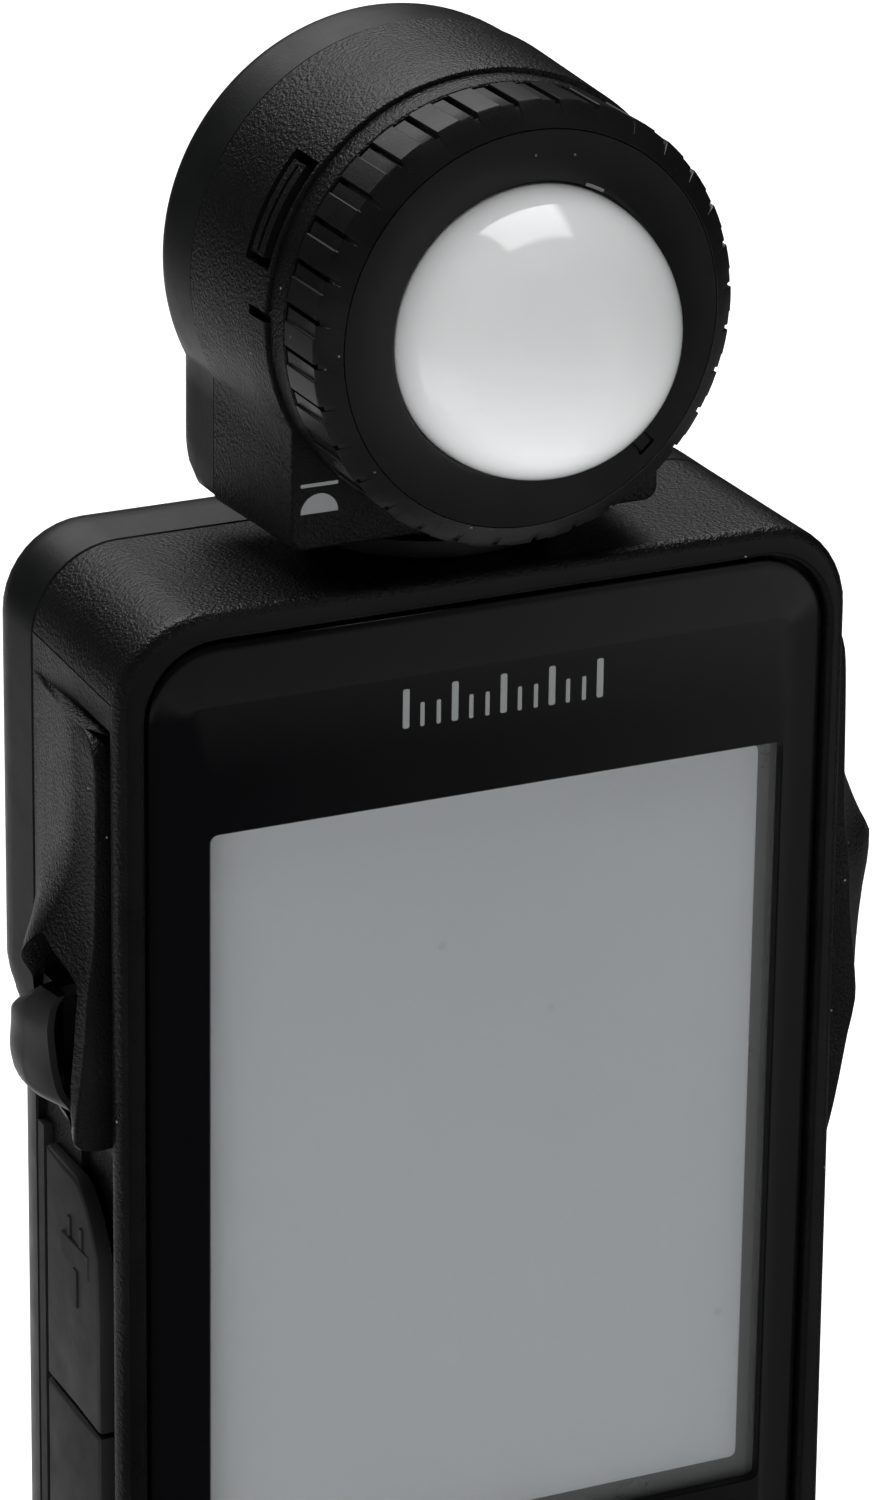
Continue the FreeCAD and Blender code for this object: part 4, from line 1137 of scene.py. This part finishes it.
# ---- retracting ring and dome ----
def ring_profile(r):
    """Section of the ring for one angle: r is how far its grip stands out there."""
    sunk = RING_R - r
    front_r = r + 0.5 * sunk
    drop = 0.2 * sunk
    inner_r = 13.25
    lip_r = RING_FACE_R + 0.03
    return [(inner_r, RING_BACK), (r - 0.15, RING_BACK), (r, RING_BACK - 0.15), (r, -1.0),
            (r, -3.05 - drop), (front_r, -3.35 - drop), (front_r - 0.12, -3.5 - drop),
            (14.2, -4.08), (lip_r + 0.03, RING_FRONT + 0.02), (lip_r, RING_FRONT + 0.05),
            (lip_r, -3.5), (inner_r, -3.4)]


def knurled_ring():
    """Stepped pads: a narrow slit, a low part and a high part in each pitch."""
    pitch = 360.0 / RING_PADS
    slit = RING_R - 0.65
    step = RING_R - 0.17
    start_deg = 3.0
    stations = [(0.0, slit), (0.1, slit), (0.115, step), (0.25, step), (0.4, step), (0.415, RING_R - 0.03),
                (0.43, RING_R), (0.7, RING_R), (0.97, RING_R), (0.985, RING_R - 0.06)]
    loops = [turned(ring_profile(r), math.radians(pitch * (i + share) + start_deg))
             for i in range(RING_PADS) for share, r in stations]
    obj = new_piece("knurled_ring", *loft(loops, ring=True), MATERIALS["ring_black"], crease=28.0)
    stands_for(obj, "ring", "ring_black", "retracting_ring")


def face_disc():
    """The smooth face of the ring, with a three-sided notch low on its right."""
    hole = DOME_R + 0.17
    outer = RING_FACE_R - 0.02
    back_y = -3.6
    profile = [(outer - 0.06, back_y), (outer, back_y - 0.1), (outer, RING_FRONT + 0.05),
               (outer - 0.04, RING_FRONT + 0.015), (outer - 0.6, RING_FRONT),
               (hole + 0.45, RING_FRONT + 0.02), (hole + 0.16, RING_FRONT + 0.1), (hole, RING_FRONT + 0.3),
               (hole, back_y)]
    obj = new_piece("ring_face_disc", *spin(profile, 144), FACE, crease=30.0)
    notch_deg = -47.0
    first, last = notch_deg - 2.6, notch_deg + 2.6
    near_r, far_r = hole + 0.9, hole + 2.75
    depths = (RING_FRONT - 1, RING_FRONT + 0.3)
    cutters = [wedge(near_r, far_r, edge - 0.5, edge + 0.5, *depths, 2) for edge in (first, last)]
    cutters.append(wedge(far_r - 0.22, far_r, first, last, *depths, 4))
    carve(obj, *cutters, crease=30.0)
    stands_for(obj, "ring", "ring_black", "ring_face")


def face_highlight():
    """A short pale line at the edge of the opening, at one o'clock: a painted highlight standing in for the
    lit edge of a notch there.
    """
    # Painted highlight: the pale grey print material put where a notch edge catches the light.
    shape = wedge(DOME_R + 0.3, DOME_R + 0.52, 61.0, 69.0, RING_FRONT - 0.03, RING_FRONT + 0.12, 10)
    obj = new_piece("ring_notch_highlight", *shape, PRINT_AND_HIGHLIGHT)
    stands_for(obj, "ring", "ring_black")


def opal_dome():
    """A thin half sphere on a flange, closed at its top inside and outside."""
    steps = 28
    sides = 96
    outer_r = DOME_R + 0.11
    inner_r = outer_r - 0.9
    centre_y = DOME_Y - 0.45
    flange_r = 10.88
    angles = [math.radians(90 * i / steps) for i in range(steps)]
    outer = [(outer_r * math.cos(a), centre_y - outer_r * math.sin(a)) for a in angles]
    inner = [(inner_r * math.cos(a), centre_y - inner_r * math.sin(a)) for a in reversed(angles)]
    profile = inner + [(inner_r, -2.0), (flange_r, -2.0), (flange_r, -3.05), (outer_r, -3.1)] + outer
    count = len(profile)
    verts = [p for i in range(sides) for p in turned(profile, 2 * math.pi * i / sides)]
    verts += [(0, centre_y - inner_r, HEAD_Z), (0, centre_y - outer_r, HEAD_Z)]
    inner_top, outer_top = len(verts) - 2, len(verts) - 1
    faces = []
    for i in range(sides):
        a, b = i * count, ((i + 1) % sides) * count
        faces += [(a + j, a + j + 1, b + j + 1, b + j) for j in range(count - 1)]
        faces.append((inner_top, a, b))
        faces.append((a + count - 1, outer_top, b + count - 1))
    obj = new_piece("opal_dome", verts, faces, MATERIALS["dome_white"], crease=50.0)
    stands_for(obj, "dome", "dome_white", "diffuser_dome")


# ---- keys below the screen ----
def key_signs():
    """Three bars for the menu key, a broken circle and a bar for the power key."""
    top = low("menu_key")[1]
    foot_y, crown_y = top + 0.01, top - 0.01
    pitch = 0.65
    bars = [print_bar(-KEY_X - 1.1, -KEY_X + 1.1, 16.75 + pitch * i, 16.95 + pitch * i, foot_y, 0.02)
            for i in range(3)]
    obj = new_piece("menu_sign", *merged(*bars), PRINT_AND_HIGHLIGHT)
    stands_for(obj, "menu_key_body", "bezel_gloss")
    inner_r, outer_r = 0.75, 0.95
    section = ((inner_r, foot_y), (outer_r, foot_y), (outer_r, crown_y), (inner_r, crown_y))
    loops = []
    for i in range(21):
        a = math.radians(125 + 290 * i / 20)
        loops.append([(KEY_X + r * math.cos(a), y, 17.35 + r * math.sin(a)) for r, y in section])
    stem = print_bar(KEY_X - 0.1, KEY_X + 0.1, 17.5, 18.5, foot_y, 0.02)
    obj = new_piece("power_sign", *merged(loft(loops), stem), PRINT_AND_HIGHLIGHT)
    stands_for(obj, "power_key_body", "bezel_gloss")


# ---- floor, light and camera ----
def floor():
    """A pale sheet under the meter."""
    size = 6.0
    corners = [(-size, -size, 0), (size, -size, 0), (size, size, 0), (-size, size, 0)]
    mesh = bpy.data.meshes.new("floor")
    mesh.from_pydata(corners, [], [(0, 1, 2, 3)])
    obj = bpy.data.objects.new("floor", mesh)
    bpy.context.collection.objects.link(obj)
    p = Paint("floor_pale", (0.85, 0.85, 0.85), 0.9, Specular_IOR_Level=0.0)
    p.put("Emission Color", (1.0, 1.0, 1.0, 1.0))
    p.put("Emission Strength", 0.75)
    mesh.materials.append(p.mat)
    obj.visible_glossy = False


def area_light(name, at, aim, width, height, power):
    """A rectangular lamp that does not show in reflections."""
    data = bpy.data.lights.new(name, "AREA")
    data.shape = "RECTANGLE"
    data.size = width
    data.size_y = height
    data.energy = power
    obj = bpy.data.objects.new(name, data)
    bpy.context.collection.objects.link(obj)
    obj.location = at
    obj.rotation_euler = (Vector(aim) - Vector(at)).to_track_quat("-Z", "Y").to_euler()
    obj.visible_glossy = False


# Brightness of the surroundings along each axis, from -1 to 1.
BELOW = [(-1.0, 0.7), (-0.5, 0.75), (-0.36, 0.68), (-0.2, 0.04), (0.0, 0.02)]
BELOW_DEPTH = [(-0.3, 0.0), (-0.05, 0.55), (0.15, 0.8), (0.5, 1.0)]
BELOW_SIDE = [(-0.95, 0.9), (-0.62, 0.7), (-0.48, 0.13), (-0.36, 0.21), (-0.18, 0.6), (-0.1, 0.9),
              (0.35, 1.0), (0.55, 0.15)]
BEHIND_DEPTH = [(-0.2, 0.02), (0.1, 0.05), (0.4, 1.0), (1.0, 1.0)]
BEHIND = [(0.3, 0.02), (0.42, 1.15), (0.56, 1.3), (0.66, 0.4)]
BEHIND_SIDE = [(-0.42, 0.02), (-0.28, 0.15), (-0.2, 0.45), (-0.08, 1.0), (0.3, 1.0), (0.42, 0.7), (0.6, 0.1)]
OVERHEAD = [(0.66, 0.0), (0.72, 2.8), (1.0, 2.8)]
OVERHEAD_DEPTH = [(-0.06, 0.0), (0.02, 1.0), (0.62, 1.0), (0.68, 0.0)]
OVERHEAD_SIDE = [(-0.34, 0.0), (-0.28, 1.0), (0.38, 1.0), (0.46, 0.0)]
FRONT = [(-1.0, 0.24), (-0.7, 0.24), (-0.45, 0.0)]
FRONT_SIDE = [(0.37, 0.0), (0.42, 0.35), (0.47, 1.0), (0.82, 1.0), (0.92, 0.0)]
FRONT_HEIGHT = [(-0.34, 0.0), (-0.24, 0.75), (-0.1, 0.5), (0.05, 0.0)]


def ramp_node(tree, value, stops):
    """Grey levels along a value from -1 to 1."""
    spread = tree.nodes.new("ShaderNodeMapRange")
    spread.inputs["From Min"].default_value = -1.0
    tree.links.new(value, spread.inputs["Value"])
    ramp = tree.nodes.new("ShaderNodeValToRGB")
    tree.links.new(spread.outputs["Result"], ramp.inputs["Fac"])
    marks = ramp.color_ramp.elements
    while len(marks) < len(stops):
        marks.new(0.5)
    for mark, (place_at, level) in zip(marks, stops):
        mark.position = (place_at + 1) / 2
        mark.color = (level, level, level, 1)
    return ramp.outputs["Color"]


def joined(tree, how, *parts):
    """Several greys multiplied or added."""
    result = parts[0]
    for part in parts[1:]:
        node = tree.nodes.new("ShaderNodeMix")
        node.data_type = "RGBA"
        node.blend_type = how
        node.inputs["Factor"].default_value = 1.0
        tree.links.new(result, node.inputs["A"])
        tree.links.new(part, node.inputs["B"])
        result = node.outputs["Result"]
    return result


def studio():
    """A dark room in front, light behind and below, a large soft box overhead."""
    world = bpy.data.worlds.new("studio")
    bpy.context.scene.world = world
    world.use_nodes = True
    tree = world.node_tree
    sky = tree.nodes["Background"]
    coords = tree.nodes.new("ShaderNodeTexCoord")
    split = tree.nodes.new("ShaderNodeSeparateXYZ")
    tree.links.new(coords.outputs["Generated"], split.inputs["Vector"])
    x, y, z = (split.outputs[axis] for axis in "XYZ")

    def grey(value, stops):
        return ramp_node(tree, value, stops)

    below = joined(tree, "MULTIPLY", grey(z, BELOW), grey(x, BELOW_SIDE), grey(y, BELOW_DEPTH))
    behind = joined(tree, "MULTIPLY", grey(z, BEHIND), grey(x, BEHIND_SIDE), grey(y, BEHIND_DEPTH))
    overhead = joined(tree, "MULTIPLY", grey(z, OVERHEAD), grey(y, OVERHEAD_DEPTH), grey(x, OVERHEAD_SIDE))
    sheen = joined(tree, "ADD", grey(x, FRONT_SIDE), grey(z, FRONT_HEIGHT))
    front = joined(tree, "MULTIPLY", sheen, grey(y, FRONT))
    tree.links.new(joined(tree, "ADD", below, behind, overhead, front), sky.inputs["Color"])
    sky.inputs["Strength"].default_value = 1.0
    area_light("key_top", (0.05, -0.12, 0.8), (0, 0, 0.1), 0.5, 0.4, 1.9)
    area_light("left_fill", (-0.95, -0.55, 0.08), (0, 0, 0.08), 0.6, 0.6, 2.8)
    bpy.context.scene.view_settings.view_transform = "Standard"


def camera():
    """Looks down on the front of the meter from its upper left."""
    at = Vector((-0.17886, -0.36826, 0.25327))
    ahead = Vector((0.40335, 0.83768, -0.36824)).normalized()
    right = Vector((0.90304, -0.42938, 0.01238))
    right = (right - ahead * right.dot(ahead)).normalized()
    turn = Matrix((right, right.cross(ahead), -ahead)).transposed()
    data = bpy.data.cameras.new("camera")
    data.sensor_fit = "VERTICAL"
    data.sensor_height = 36.0
    data.lens = 155.89
    data.clip_start = 0.01
    obj = bpy.data.objects.new("camera", data)
    bpy.context.collection.objects.link(obj)
    obj.matrix_world = Matrix.Translation(at) @ turn.to_4x4()
    bpy.context.scene.camera = obj


case_front()
rim_trim()
case_rear()
window_frame()
screen()
tick_scale()
side_wings()
side_buttons()
well_ribs()
port_covers()
port_symbol()
head_front()
head_rear()
dome_symbol()
knurled_ring()
face_disc()
face_highlight()
opal_dome()
key_signs()
floor()
studio()
camera()
